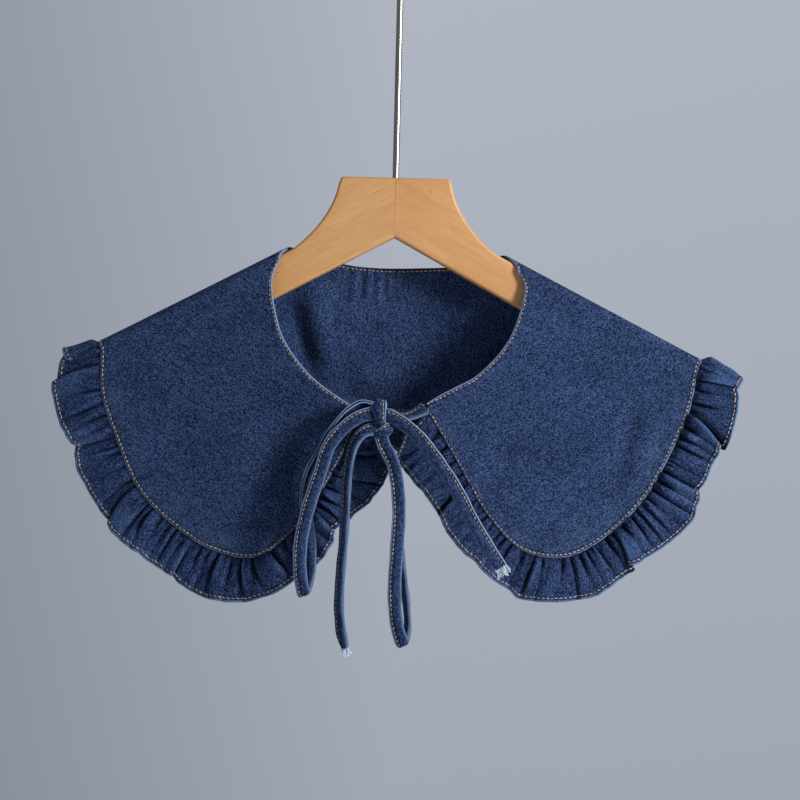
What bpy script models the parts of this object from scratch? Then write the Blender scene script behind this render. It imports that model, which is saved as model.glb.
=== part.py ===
"""Ruffled denim cape collar, tied in a bow and hung on a flat wooden hanger.

Metres, +Z up, +X to the viewer's right, the fronts face -Y. The origin is the inside top of the
hook, where a rail carries the hanger. The sizes and tables below are in millimetres.
"""

import math

import bmesh
import bpy
from mathutils import Quaternion, Vector

MM = 0.001
GAP = 0.3  # between pieces that meet
SEAM_GAP = 0.6  # the same between the body and its ruffle, which turns sharply at the shoulder

# Hanger
HOOK_WIRE = 4.0
HOOK_INNER_R = 20.0
HOOK_FOOT_R = 12.0  # the bend from the shank into the hook
HOOK_TIP_DEG = 205.0
HOOK_FACET_DEG = 9.0
PLATE_TOP_Z = -166.0
PLATE_HALF_WIDTH = 34.5
WOOD_THICKNESS = 12.0
WOOD_EDGE_R = 3.0
ARM_SLOPE = 0.54  # fall for each millimetre along x
ARM_TOP_Z = -177.6  # where the top line of an arm meets x = 0
ARM_UNDER_Z = -203.0  # the same for its under line
ARM_END_X = 166.0
ARM_END_STEPS = 6
FLARE_START = (35.0, -170.0)  # the plate's side runs out into the arm's top line
FLARE_PULL = (39.0, -192.0)
FLARE_END_X = 62.0
FLARE_STEPS = 7
SHANK_HOLE_R = 2.4
SHANK_HOLE_DEPTH = 26.0

# Cloth of the collar's body
WALL = 2.0
RIDGE_CLEARANCE = 0.5
FOLD_HALF_WIDTH = 7.5  # of the cloth's middle where it turns over an arm
FOLD_R = 4.5
FOLD_CORNER_STEPS = 3
PANEL_STEPS = 6  # from the neck edge to the seam
ROW_STEPS = 2  # rows made of each row of the tables
CORNER_ROWS = 3  # rows at a front corner that are too short to face the ruffle by
BULGE_HALF_X = 190.0
BULGE_DROP = 65.0  # most of the stand-off is reached this far below the ridge
MIDDLE_BULGE = 20.0  # how far the panels stand off the hanger's plane
SHOULDER_BULGE = 5.0

# Ruffle
RUFFLE_WIDTH = 27.0
RUFFLE_WALL = 1.6
RUFFLE_PITCH = 13.5
RUFFLE_SAMPLES = 4  # along the seam for each gather
RUFFLE_WANDER = 3.0  # how uneven the gathers are
RUFFLE_WANDER_LENGTH = 31.0
SEAM_GATHER = 0.8  # a gather's height at the seam
HEM_GATHER = 3.4  # and at the hem
END_SAG_LENGTH = 45.0  # the front ends sag along this much of the seam
END_SAG_DEG = 36.0
STRIP_START = 2.5  # a tie is sewn in above it
FRONT_STRIP = 222.0  # seam length from the corner to the join of two strips
JOIN_GAP = 0.9  # between two strips, whose gathers meet at a slant

# Ties and bow
TIE_WIDTH = 8.2
TIE_WALL = 2.2
TIE_STEP = 4.0  # between the rows of a strap that are kept
TIE_FINE_STEPS = 8  # rows worked out for each span of a route
KNOT_LOW = (-9.6, -41.5, -327.0)
KNOT_HIGH = (-1.0, -29.5, -304.5)
KNOT_EDGE_R = 2.0

# Rows of the fronts from the tied corner up to the shoulder, and of the back from the left
# shoulder to the right one: neck edge x, neck edge z, seam x, seam z.
LEFT_FRONT = (
    (-21.0, -308.5, -21.0, -313.0),
    (-28.0, -304.5, -25.0, -329.0),
    (-36.0, -299.5, -36.0, -352.0),
    (-45.0, -293.0, -54.0, -381.0),
    (-53.5, -285.0, -80.0, -401.5),
    (-61.0, -275.5, -107.0, -398.0),
    (-67.5, -264.5, -131.0, -384.0),
    (-71.5, -251.5, -153.0, -363.0),
    (-74.0, -239.0, -168.0, -332.0),
    (-74.0, -228.0, -178.0, -304.0),
)
RIGHT_FRONT = (
    (22.5, -304.5, 22.5, -309.0),
    (30.5, -299.5, 31.0, -322.5),
    (39.5, -294.5, 44.0, -344.0),
    (50.5, -288.5, 61.0, -372.0),
    (59.0, -281.0, 84.0, -394.0),
    (66.5, -272.5, 111.0, -397.0),
    (72.5, -263.0, 136.0, -383.0),
    (77.0, -251.5, 158.0, -360.0),
    (80.0, -239.5, 173.0, -333.0),
    (80.5, -229.0, 184.0, -307.0),
)
BACK = (
    (-52.0, -214.5, -175.0, -300.0),
    (-40.0, -217.5, -150.0, -315.0),
    (-26.0, -220.0, -108.0, -321.0),
    (-12.0, -221.0, -56.0, -317.0),
    (2.0, -221.0, 1.0, -311.0),
    (17.0, -220.5, 58.0, -317.0),
    (30.0, -220.0, 113.0, -321.0),
    (44.0, -219.0, 158.0, -316.0),
    (56.0, -217.5, 184.0, -302.0),
)
# Where the shoulder folds end: neck x in front of the arm, above it and behind it, seam x, and
# how far the stiff cloth stands off the arm's line at the seam.
LEFT_FOLD = (-72.0, -65.0, -61.0, -181.0, 1.0)
RIGHT_FOLD = (78.0, 69.0, 64.0, 190.0, 4.0)

# Routes of the straps: x, y, z of the strap's middle, and its twist in degrees, 0 facing front.
LEFT_TIE = (
    (-20.0, -24.4, -309.6, 0.0),
    (-17.2, -25.8, -309.9, 5.0),
    (-13.6, -28.8, -310.5, 15.0),
    (-10.4, -31.4, -310.9, 20.0),
)
RIGHT_TIE = (
    (21.5, -24.3, -306.2, 0.0),
    (17.5, -25.8, -306.6, 5.0),
    (12.0, -28.6, -309.6, 15.0),
    (6.0, -31.2, -311.4, 15.0),
    (-0.3, -32.0, -311.2, 10.0),
)
LEFT_LOOP = (
    (-11.3, -38.0, -312.0, 0.0),
    (-16.7, -39.0, -313.5, 0.0),
    (-22.1, -40.0, -316.4, 0.0),
    (-29.1, -41.0, -322.6, 0.0),
    (-35.6, -41.0, -331.0, 5.0),
    (-41.0, -41.0, -348.0, 10.0),
    (-48.0, -41.0, -371.0, 10.0),
    (-52.0, -41.0, -394.0, 10.0),
    (-50.9, -41.0, -414.0, 10.0),
    (-48.9, -37.8, -421.5, 10.0),
    (-46.6, -34.0, -414.0, 10.0),
    (-46.2, -33.0, -401.0, 10.0),
    (-46.8, -32.6, -385.0, 20.0),
    (-48.2, -33.0, -366.0, 50.0),
    (-48.4, -34.0, -350.0, 80.0),
    (-43.0, -35.0, -331.0, 88.0),
    (-34.8, -36.0, -317.5, 88.0),
    (-26.8, -36.0, -308.6, 88.0),
    (-18.2, -36.0, -304.6, 88.0),
    (-10.4, -36.0, -306.2, 88.0),
)
LEFT_TAIL = (
    (-11.8, -39.2, -322.0, 35.0),
    (-14.8, -40.8, -323.1, 45.0),
    (-18.1, -41.8, -326.0, 50.0),
    (-21.4, -42.2, -332.0, 50.0),
    (-23.8, -42.0, -343.0, 50.0),
    (-24.9, -42.0, -358.0, 50.0),
    (-25.3, -41.0, -376.0, 50.0),
    (-26.5, -39.0, -397.0, 50.0),
    (-27.6, -38.0, -416.0, 45.0),
    (-27.6, -37.5, -432.0, 40.0),
    (-25.9, -37.0, -445.0, 35.0),
    (-23.4, -37.0, -454.0, 30.0),
)
RIGHT_LOOP = (
    (-3.6, -38.4, -327.5, 0.0),
    (-3.2, -38.7, -330.4, 5.0),
    (-0.2, -39.4, -335.6, 10.0),
    (2.8, -40.0, -341.6, 10.0),
    (5.0, -40.2, -350.6, 5.0),
    (7.0, -40.2, -370.0, 0.0),
    (6.4, -40.2, -391.0, 0.0),
    (5.5, -40.2, -412.0, 5.0),
    (6.0, -40.2, -428.0, 8.0),
    (8.4, -40.0, -443.0, 10.0),
    (11.8, -36.4, -450.4, 10.0),
    (13.8, -32.8, -443.0, 10.0),
    (13.2, -31.8, -430.0, 10.0),
    (10.8, -31.6, -412.0, 10.0),
    (8.2, -31.6, -391.0, 10.0),
    (6.8, -31.8, -370.0, 10.0),
    (5.0, -32.4, -350.0, 10.0),
    (1.2, -33.0, -337.0, 10.0),
    (-2.4, -33.2, -330.6, 5.0),
    (-3.0, -33.2, -327.5, 0.0),
)
RIGHT_TAIL = (
    (1.5, -37.8, -313.9, 0.0),
    (5.4, -38.9, -315.9, 0.0),
    (10.2, -39.8, -319.0, 0.0),
    (17.7, -40.4, -325.3, 0.0),
    (26.4, -40.5, -335.6, 0.0),
    (35.0, -40.2, -347.0, 0.0),
    (43.0, -39.6, -359.6, 0.0),
    (50.6, -39.0, -373.6, 0.0),
    (60.0, -38.0, -389.0, 0.0),
    (69.4, -37.0, -403.0, 0.0),
)


def clear_scene():
    """Removes what the scene holds, and leaves the file itself alone."""
    for old in list(bpy.data.objects):
        bpy.data.objects.remove(old, do_unlink=True)


def new_collection(name):
    collection = bpy.data.collections.new(name)
    bpy.context.scene.collection.children.link(collection)
    return collection


def material(name, colour, roughness, metallic=0.0):
    made = bpy.data.materials.new(name)
    made.use_nodes = True
    shader = made.node_tree.nodes["Principled BSDF"]
    shader.inputs["Base Color"].default_value = (*colour, 1.0)
    shader.inputs["Roughness"].default_value = roughness
    shader.inputs["Metallic"].default_value = metallic
    return made


def place(made, collection, finish, parent):
    """Links an object into its collection, gives it its material and its parent."""
    for old in list(made.users_collection):
        old.objects.unlink(made)
    collection.objects.link(made)
    made.data.materials.clear()
    made.data.materials.append(finish)
    made.parent = parent
    return made


def smooth_points(points, steps):
    """Points of a smooth curve through the given vectors, with steps to each span."""
    ends = [2 * points[0] - points[1], *points, 2 * points[-1] - points[-2]]
    made = []
    for before, a, b, after in zip(ends, ends[1:], ends[2:], ends[3:]):
        span = (b - a).length
        leave = ((b - a) / span + (a - before) / max((a - before).length, 1e-9)) * span / 2
        arrive = ((after - b) / max((after - b).length, 1e-9) + (b - a) / span) * span / 2
        for step in range(steps):
            t = step / steps
            made.append(
                (2 * t**3 - 3 * t**2 + 1) * a
                + (t**3 - 2 * t**2 + t) * leave
                + (3 * t**2 - 2 * t**3) * b
                + (t**3 - t**2) * arrive
            )
    made.append(points[-1].copy())
    return made


def cloth(name, rows, wall):
    """A sheet through rows of points, with a Solidify modifier for its thickness."""
    mesh = bpy.data.meshes.new(name)
    shape = bmesh.new()
    grid = [[shape.verts.new(point * MM) for point in row] for row in rows]
    for row, after in zip(grid, grid[1:]):
        for j in range(len(row) - 1):
            shape.faces.new((row[j], after[j], after[j + 1], row[j + 1]))
    shape.to_mesh(mesh)
    shape.free()
    mesh.shade_smooth()
    made = bpy.data.objects.new(name, mesh)
    bpy.context.scene.collection.objects.link(made)
    thickness = made.modifiers.new("wall", "SOLIDIFY")
    thickness.thickness = wall * MM
    thickness.offset = 0.0
    thickness.use_even_offset = True
    thickness.thickness_clamp = 0.0
    return made


def mesh_of(curve_object):
    """A curve's mesh as a new object, with the caps welded on."""
    graph = bpy.context.evaluated_depsgraph_get()
    mesh = bpy.data.meshes.new_from_object(curve_object.evaluated_get(graph))
    shape = bmesh.new()
    shape.from_mesh(mesh)
    bmesh.ops.remove_doubles(shape, verts=shape.verts, dist=0.00001)
    shape.to_mesh(mesh)
    shape.free()
    name = curve_object.name
    placed = curve_object.matrix_world.copy()
    bpy.data.objects.remove(curve_object, do_unlink=True)
    made = bpy.data.objects.new(name, mesh)
    made.matrix_world = placed
    bpy.context.scene.collection.objects.link(made)
    return made


# ---------------------------------------------------------------- hanger


def arm_outline():
    """One arm's outline as x and z, from the top of the mitre round to the under side."""
    mitre = GAP / 2
    outline = [(mitre, PLATE_TOP_Z), (PLATE_HALF_WIDTH, PLATE_TOP_Z)]
    flare_end = (FLARE_END_X, ARM_TOP_Z - ARM_SLOPE * FLARE_END_X)
    for step in range(FLARE_STEPS + 1):
        t = step / FLARE_STEPS
        outline.append(
            tuple(
                (1 - t) ** 2 * a + 2 * t * (1 - t) * b + t**2 * c
                for a, b, c in zip(FLARE_START, FLARE_PULL, flare_end)
            )
        )
    half_height = (ARM_TOP_Z - ARM_UNDER_Z) / 2 * math.cos(math.atan(ARM_SLOPE))
    middle_z = (ARM_TOP_Z + ARM_UNDER_Z) / 2
    centre_x = ARM_END_X - half_height
    centre_z = middle_z - ARM_SLOPE * centre_x
    tilt = math.atan(ARM_SLOPE)
    for step in range(ARM_END_STEPS + 1):
        angle = math.pi / 2 - tilt - math.pi * step / ARM_END_STEPS
        outline.append(
            (
                centre_x + half_height * math.cos(angle),
                centre_z + half_height * math.sin(angle),
            )
        )
    outline.append((mitre, ARM_UNDER_Z - ARM_SLOPE * mitre))
    return outline


def shank_hole(collection):
    """The hole for the shank, half in each arm."""
    bpy.ops.mesh.primitive_cylinder_add(
        vertices=16,
        radius=SHANK_HOLE_R * MM,
        depth=2 * SHANK_HOLE_DEPTH * MM,
        location=(0.0, 0.0, PLATE_TOP_Z * MM),
    )
    hole = bpy.context.object
    hole.name = "shank_hole"
    hole.hide_render = True
    hole.display_type = "WIRE"
    for old in list(hole.users_collection):
        old.objects.unlink(hole)
    collection.objects.link(hole)
    return hole


def hanger_arm(name, side, hole):
    """A flat arm with rounded edges; side is 1 on the right and -1 on the left."""
    outline = [(side * x, z) for x, z in arm_outline()]
    flat = bpy.data.curves.new(name, "CURVE")
    flat.dimensions = "2D"
    flat.fill_mode = "BOTH"
    flat.extrude = (WOOD_THICKNESS / 2 - WOOD_EDGE_R) * MM
    flat.bevel_depth = WOOD_EDGE_R * MM
    flat.bevel_resolution = 1
    flat.offset = -WOOD_EDGE_R * MM
    spline = flat.splines.new("POLY")
    spline.points.add(len(outline) - 1)
    for point, (x, z) in zip(spline.points, outline):
        point.co = (x * MM, z * MM, 0.0, 1.0)
    spline.use_cyclic_u = True
    board = bpy.data.objects.new(name, flat)
    board.rotation_euler = (math.pi / 2, 0.0, 0.0)
    bpy.context.scene.collection.objects.link(board)
    bpy.context.view_layer.update()
    arm = mesh_of(board)
    cut = arm.modifiers.new("shank_hole", "BOOLEAN")
    cut.object = hole
    return arm


def hook_line():
    """The middle of the wire: up the shank, through the foot bend and round the hook."""
    ring_r = HOOK_INNER_R + HOOK_WIRE / 2
    reach = math.sqrt((ring_r + HOOK_FOOT_R) ** 2 - HOOK_FOOT_R**2)
    foot = Vector((HOOK_FOOT_R, -HOOK_INNER_R - reach))
    join_deg = math.degrees(math.atan2(-reach, HOOK_FOOT_R))
    line = [Vector((0.0, PLATE_TOP_Z - SHANK_HOLE_DEPTH + GAP))]
    foot_steps = round(-join_deg / HOOK_FACET_DEG)
    for step in range(foot_steps + 1):
        angle = math.radians(180 + join_deg * step / foot_steps)
        line.append(foot + HOOK_FOOT_R * Vector((math.cos(angle), math.sin(angle))))
    ring_steps = round((HOOK_TIP_DEG - join_deg) / HOOK_FACET_DEG)
    centre = Vector((0.0, -HOOK_INNER_R))
    for step in range(1, ring_steps + 1):
        angle = math.radians(join_deg + (HOOK_TIP_DEG - join_deg) * step / ring_steps)
        line.append(centre + ring_r * Vector((math.cos(angle), math.sin(angle))))
    return line


def hanger_hook():
    wire = bpy.data.curves.new("hanger_hook", "CURVE")
    wire.dimensions = "3D"
    wire.bevel_depth = HOOK_WIRE / 2 * MM
    wire.bevel_resolution = 3
    wire.use_fill_caps = True
    line = hook_line()
    spline = wire.splines.new("POLY")
    spline.points.add(len(line) - 1)
    for point, place_on_wire in zip(spline.points, line):
        point.co = (place_on_wire.x * MM, 0.0, place_on_wire.y * MM, 1.0)
    made = bpy.data.objects.new("hanger_hook", wire)
    bpy.context.scene.collection.objects.link(made)
    bpy.context.view_layer.update()
    return mesh_of(made)


# ---------------------------------------------------------------- collar


def ridge_z(x):
    """Height of the cloth's middle along the top of an arm."""
    over_wood = (RIDGE_CLEARANCE + WALL / 2) * math.sqrt(1 + ARM_SLOPE**2)
    return ARM_TOP_Z - ARM_SLOPE * abs(x) + over_wood


def stand_off(x, z):
    """How far a panel's middle lies in front of or behind the hanger's plane."""
    middle = math.cos(math.pi / 2 * min(1.0, abs(x) / BULGE_HALF_X)) ** 2
    full = SHOULDER_BULGE + (MIDDLE_BULGE - SHOULDER_BULGE) * middle
    below = max(0.0, ridge_z(x) - z - FOLD_R)
    return FOLD_HALF_WIDTH + full * (1 - math.exp(-below / BULGE_DROP))


def panel_row(row, side):
    """Points from the neck edge to the seam; side is -1 on a front and 1 on the back."""
    neck_x, neck_z, seam_x, seam_z = row
    points = []
    for step in range(PANEL_STEPS + 1):
        share = step / PANEL_STEPS
        x = neck_x + (seam_x - neck_x) * share
        z = neck_z + (seam_z - neck_z) * share
        points.append(Vector((x, side * stand_off(x, z), z)))
    return points


def fold_rows(fold):
    """Rows of the shoulder fold from front to back: a flat top and two rounded corners."""
    front_x, top_x, back_x, seam_x, lift = fold
    flat = FOLD_HALF_WIDTH - FOLD_R
    profile = []
    for step in range(FOLD_CORNER_STEPS + 1):
        angle = math.pi / 2 * step / FOLD_CORNER_STEPS
        profile.append((-flat - FOLD_R * math.cos(angle), FOLD_R * (math.sin(angle) - 1)))
    profile += [(-y, drop) for y, drop in reversed(profile)]
    across = Vector((math.copysign(ARM_SLOPE, front_x), 0.0, 1.0)).normalized()
    rows = []
    for y, drop in profile:
        share = y / FOLD_HALF_WIDTH
        end_x = front_x if share < 0 else back_x
        neck_x = top_x + (end_x - top_x) * share**2
        row = []
        for step in range(PANEL_STEPS + 1):
            share = step / PANEL_STEPS
            x = neck_x + (seam_x - neck_x) * share
            row.append(Vector((x, y, ridge_z(x))) + across * (drop + lift * share))
        rows.append(row)
    return rows


def collar_rows():
    """All rows of the body, from the left front corner round the neck to the right one."""
    left_front = [panel_row(row, -1) for row in LEFT_FRONT]
    right_front = [panel_row(row, -1) for row in reversed(RIGHT_FRONT)]
    back = [panel_row(row, 1) for row in BACK]
    left_fold = fold_rows(LEFT_FOLD)
    right_fold = fold_rows(RIGHT_FOLD)[::-1]
    stretches = (
        left_front + left_fold[:1],
        left_fold,
        left_fold[-1:] + back + right_fold[:1],
        right_fold,
        right_fold[-1:] + right_front,
    )
    rows = []
    for number, stretch in enumerate(stretches):
        steps = 1 if number in (1, 3) else ROW_STEPS
        columns = [smooth_points(list(column), steps) for column in zip(*stretch)]
        rows += [list(row) for row in zip(*columns)][: None if number == 4 else -1]
    return rows


def seam_frames(rows):
    """Along the body's outer edge: the point, and the directions along, out and off it."""
    edge = [row[-1] for row in rows]
    frames = []
    for i, point in enumerate(edge):
        along = (edge[min(i + 1, len(edge) - 1)] - edge[max(i - 1, 0)]).normalized()
        inward = min(max(i, CORNER_ROWS), len(edge) - 1 - CORNER_ROWS)
        off = along.cross(edge[inward] - rows[inward][-2]).normalized()
        frames.append((point, along, off.cross(along), off))
    return frames


def ruffle_rows(rows, start, end):
    """Rows of a gathered strip between two lengths along the seam; below 0 is from its end."""
    frames = seam_frames(rows)
    lengths = [0.0]
    for a, b in zip(frames, frames[1:]):
        lengths.append(lengths[-1] + (b[0] - a[0]).length)
    whole = lengths[-1]
    start, end = (length + whole if length < 0 else length for length in (start, end))
    count = round((end - start) / RUFFLE_PITCH * RUFFLE_SAMPLES)
    strip = []
    span = 0
    for i in range(count + 1):
        s = start + (end - start) * i / count
        while span < len(lengths) - 2 and lengths[span + 1] < s:
            span += 1
        share = (s - lengths[span]) / (lengths[span + 1] - lengths[span])
        point, along, out, off = (
            a.lerp(b, share) for a, b in zip(frames[span], frames[span + 1])
        )
        sag = max(0.0, 1 - s / END_SAG_LENGTH) - max(0.0, 1 - (whole - s) / END_SAG_LENGTH)
        turned = math.radians(END_SAG_DEG) * sag
        reach = (out * math.cos(turned) + along * math.sin(turned)).normalized()
        wander = RUFFLE_WANDER * math.sin(s / RUFFLE_WANDER_LENGTH)
        wave = math.cos(2 * math.pi * (s + wander) / RUFFLE_PITCH)
        row = []
        for across in (0.0, 0.5, 1.0):
            height = (SEAM_GATHER + (HEM_GATHER - SEAM_GATHER) * across) * wave
            row.append(point + out * SEAM_GAP + reach * (RUFFLE_WIDTH * across) + off * height)
        strip.append(row)
    return strip


# ---------------------------------------------------------------- ties and bow


def strap_rows(route):
    """A strap's two edges along its route, turned by the twist of each point."""
    middle = [Vector(row[:3]) for row in route]
    twists = [Vector((row[3], i, 0.0)) for i, row in enumerate(route)]
    fine = smooth_points(middle, TIE_FINE_STEPS)
    fine_twists = smooth_points(twists, TIE_FINE_STEPS)
    along = (fine[1] - fine[0]).normalized()
    facing = Vector((0.0, -1.0, 0.0))
    facing = (facing - along * facing.dot(along)).normalized()
    rows = []
    for i, point in enumerate(fine):
        after = fine[min(i + 1, len(fine) - 1)]
        before = fine[max(i - 1, 0)]
        heading = (after - before).normalized()
        facing = along.rotation_difference(heading) @ facing
        along = heading
        turned = Quaternion(along, math.radians(fine_twists[i].x)) @ facing
        half = along.cross(turned).normalized() * (TIE_WIDTH / 2)
        rows.append([point - half, point + half])
    whole = sum((b - a).length for a, b in zip(fine, fine[1:]))
    keep = max(1, round(TIE_STEP * len(fine) / whole))
    kept = rows[:-1:keep]
    if len(rows) - 1 - (len(kept) - 1) * keep < keep / 2:
        kept.pop()
    return kept + rows[-1:]


def bow_knot():
    """The wraps of the two ties, as one rounded block."""
    low, high = Vector(KNOT_LOW), Vector(KNOT_HIGH)
    bpy.ops.mesh.primitive_cube_add(size=1.0, location=(low + high) / 2 * MM)
    made = bpy.context.object
    made.name = "bow_knot"
    made.scale = (high - low) * MM
    bpy.ops.object.transform_apply(location=False, rotation=False, scale=True)
    rounding = made.modifiers.new("rounding", "BEVEL")
    rounding.width = KNOT_EDGE_R * MM
    rounding.segments = 3
    return made


def main():
    clear_scene()
    parts = new_collection("ruffled_collar_on_hanger")
    cutters = new_collection("cutters")
    held = bpy.data.objects.new("rail_point", None)
    parts.objects.link(held)
    denim = material("denim", (0.035, 0.055, 0.13), 0.85)
    ruffle_denim = material("ruffle_denim", (0.03, 0.05, 0.12), 0.85)
    tie_denim = material("tie_denim", (0.045, 0.07, 0.16), 0.8)
    wood = material("wood", (0.62, 0.38, 0.19), 0.45)
    steel = material("steel", (0.62, 0.62, 0.62), 0.3, 1.0)

    hole = shank_hole(cutters)
    place(hanger_arm("hanger_arm_left", -1, hole), parts, wood, held)
    place(hanger_arm("hanger_arm_right", 1, hole), parts, wood, held)
    place(hanger_hook(), parts, steel, held)

    rows = collar_rows()
    place(cloth("collar_body", rows, WALL), parts, denim, held)
    strips = (
        ("ruffle_left", STRIP_START, FRONT_STRIP),
        ("ruffle_back", FRONT_STRIP + JOIN_GAP, -FRONT_STRIP - JOIN_GAP),
        ("ruffle_right", -FRONT_STRIP, -STRIP_START),
    )
    for name, start, end in strips:
        strip = cloth(name, ruffle_rows(rows, start, end), RUFFLE_WALL)
        place(strip, parts, ruffle_denim, held)

    straps = (
        ("tie_left", LEFT_TIE),
        ("tie_right", RIGHT_TIE),
        ("bow_loop_left", LEFT_LOOP),
        ("bow_loop_right", RIGHT_LOOP),
        ("tie_tail_left", LEFT_TAIL),
        ("tie_tail_right", RIGHT_TAIL),
    )
    for name, route in straps:
        place(cloth(name, strap_rows(route), TIE_WALL), parts, tie_denim, held)
    place(bow_knot(), parts, tie_denim, held)


main()
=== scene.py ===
"""A ruffled denim cape collar, tied in a bow and hung on a flat wooden hanger: its cloth, thread and wood.

Metres, +Z up, +X to the viewer's right, the fronts face -Y, and the origin is the inside top of the
hook. Tables and shapes are worked out in millimetres and turned into metres when a mesh is made.
"""

import logging
import math
from dataclasses import dataclass
from enum import Enum
from typing import Any, Optional, Sequence

import bmesh
import bpy
import numpy as np
from bpy.types import Material, Mesh, Node, NodeTree, Object
from bpy.types import NodeSocket as Socket
from mathutils import Matrix, Quaternion, Vector

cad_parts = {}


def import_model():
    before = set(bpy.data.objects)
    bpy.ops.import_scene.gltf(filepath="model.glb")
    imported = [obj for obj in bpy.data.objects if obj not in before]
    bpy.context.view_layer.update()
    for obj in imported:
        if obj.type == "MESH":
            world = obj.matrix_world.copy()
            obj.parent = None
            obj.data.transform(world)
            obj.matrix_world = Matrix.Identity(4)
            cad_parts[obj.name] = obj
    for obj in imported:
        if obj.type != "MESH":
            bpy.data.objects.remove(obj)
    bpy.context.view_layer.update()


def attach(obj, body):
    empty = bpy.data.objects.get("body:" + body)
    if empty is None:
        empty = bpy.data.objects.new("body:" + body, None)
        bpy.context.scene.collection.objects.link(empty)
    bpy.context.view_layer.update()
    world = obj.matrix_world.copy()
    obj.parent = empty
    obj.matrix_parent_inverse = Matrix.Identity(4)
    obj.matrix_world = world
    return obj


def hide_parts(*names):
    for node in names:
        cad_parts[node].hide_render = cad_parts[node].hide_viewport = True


MM = 0.001
BODY = "root"
SEED = 7
STITCH_PROUD = 0.05  # how far the middle of a stitch stands off the cloth, in millimetres

log = logging.getLogger("collar")

Array = np.ndarray
Row = tuple[float, ...]
Colour = tuple[float, float, float]


class Side(Enum):
    """The viewer's left or right."""

    LEFT = -1
    RIGHT = 1


class StitchedEdge(Enum):
    """The edge of a strap that is sewn shut, seen along the strap with its face up."""

    LEFT = 1
    RIGHT = -1


# ---- tables of the cut

# Rows of the fronts from the tied corner up to the shoulder, and of the back from the left
# shoulder to the right one: neck edge x, neck edge z, seam x, seam z.
LEFT_FRONT = (
    (-21, -308.5, -21, -313), (-28, -304.5, -25, -329), (-36, -299.5, -36, -352),
    (-45, -293, -54, -381), (-53.5, -285, -80, -401.5), (-61, -275.5, -107, -398),
    (-67.5, -264.5, -131, -384), (-71.5, -251.5, -153, -363), (-74, -239, -168, -332),
    (-74, -228, -178, -304),
)
RIGHT_FRONT = (
    (22.5, -304.5, 22.5, -309), (30.5, -299.5, 31, -322.5), (39.5, -294.5, 44, -344),
    (50.5, -288.5, 61, -372), (59, -281, 84, -394), (66.5, -272.5, 111, -397), (72.5, -263, 136, -383),
    (77, -251.5, 158, -360), (80, -239.5, 173, -333), (80.5, -229, 184, -307),
)
BACK = (
    (-52, -214.5, -175, -300), (-40, -217.5, -150, -315), (-26, -220, -108, -321),
    (-12, -221, -56, -317), (2, -221, 1, -311), (17, -220.5, 58, -317), (30, -220, 113, -321),
    (44, -219, 158, -316), (56, -217.5, 184, -302),
)
# Where the shoulder folds end: neck x in front of the arm, above it and behind it, seam x, and
# how far the stiff cloth stands off the arm's line at the seam.
LEFT_FOLD = (-72, -65, -61, -181, 1)
RIGHT_FOLD = (78, 69, 64, 190, 4)

# Creases of the ruffle, counted from each tied corner: where one starts along the seam, where it
# points at the hem, how much of the width it runs, its depth, how far one side laps over it (over
# the higher numbers if positive), and the strip's width there, or just before it and just after it.
LEFT_CREASES = (
    (22, 4, 0.95, 3, 1.2, 32), (38, 24, 1, 2.6, 1.5, 31), (48, 42, 0.45, 1.4, 0, 28.5),
    (52.5, 56, 0.65, 2.6, 0.8, 24), (57.5, 62, 0.75, 2.6, 0.8, 20.5),
    (65, 68, 1, 2.8, -2.6, 18.5, 22.5), (73, 71.5, 0.45, 2.2, 0, 23.5), (81, 80, 0.3, 1, 0, 25),
    (91, 89, 0.35, 1.4, 0, 25), (101, 96, 0.85, 3, -1, 24, 23.5), (111, 110, 0.7, 2.2, 0.5, 25),
    (118, 116.5, 0.9, 2.4, 0.8, 27), (124.5, 124.5, 0.6, 2, 0, 28), (132, 133.5, 0.85, 2.8, 1, 29),
    (138.5, 139.5, 0.35, 1, 0, 28.5), (143.5, 145, 0.45, 1.8, 0, 27.5),
    (152.5, 151, 1, 3, -2.8, 25, 27.6), (157.5, 156, 0.3, 1.2, 0, 26),
    (164, 160.5, 0.85, 2.8, -1, 26.5), (168.5, 166, 0.45, 1.6, 0, 27), (174, 171, 0.4, 1.2, 0, 26.3),
    (182, 176.5, 0.65, 2.4, 0.6, 27.5), (187, 183, 0.85, 2.8, -0.8, 28.5),
    (198, 191.5, 1, 2.8, 2.8, 29.4, 25.8), (204.5, 200, 0.3, 1.4, 0, 27), (218, 217.5, 0.2, 1, 0, 29),
    (222.5, 222.5, 0.35, 1.6, 0, 29), (226, 230, 0.75, 2.2, 0.6, 27.5),
    (234.5, 236.5, 1, 2.8, -2.2, 25, 25.8), (241, 240.5, 0.5, 1.2, 0, 27),
    (248, 244.5, 0.6, 2.2, 0, 28), (255, 251, 0.9, 2.6, -0.8, 29.5), (263, 262, 0.5, 1.8, 0, 30),
    (276.5, 268, 1, 3.4, 2.6, 31.5, 26.5), (283.5, 278, 0.4, 1.2, 0, 25.5), (290, 287, 0.6, 2.4, 0, 22),
)
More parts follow.
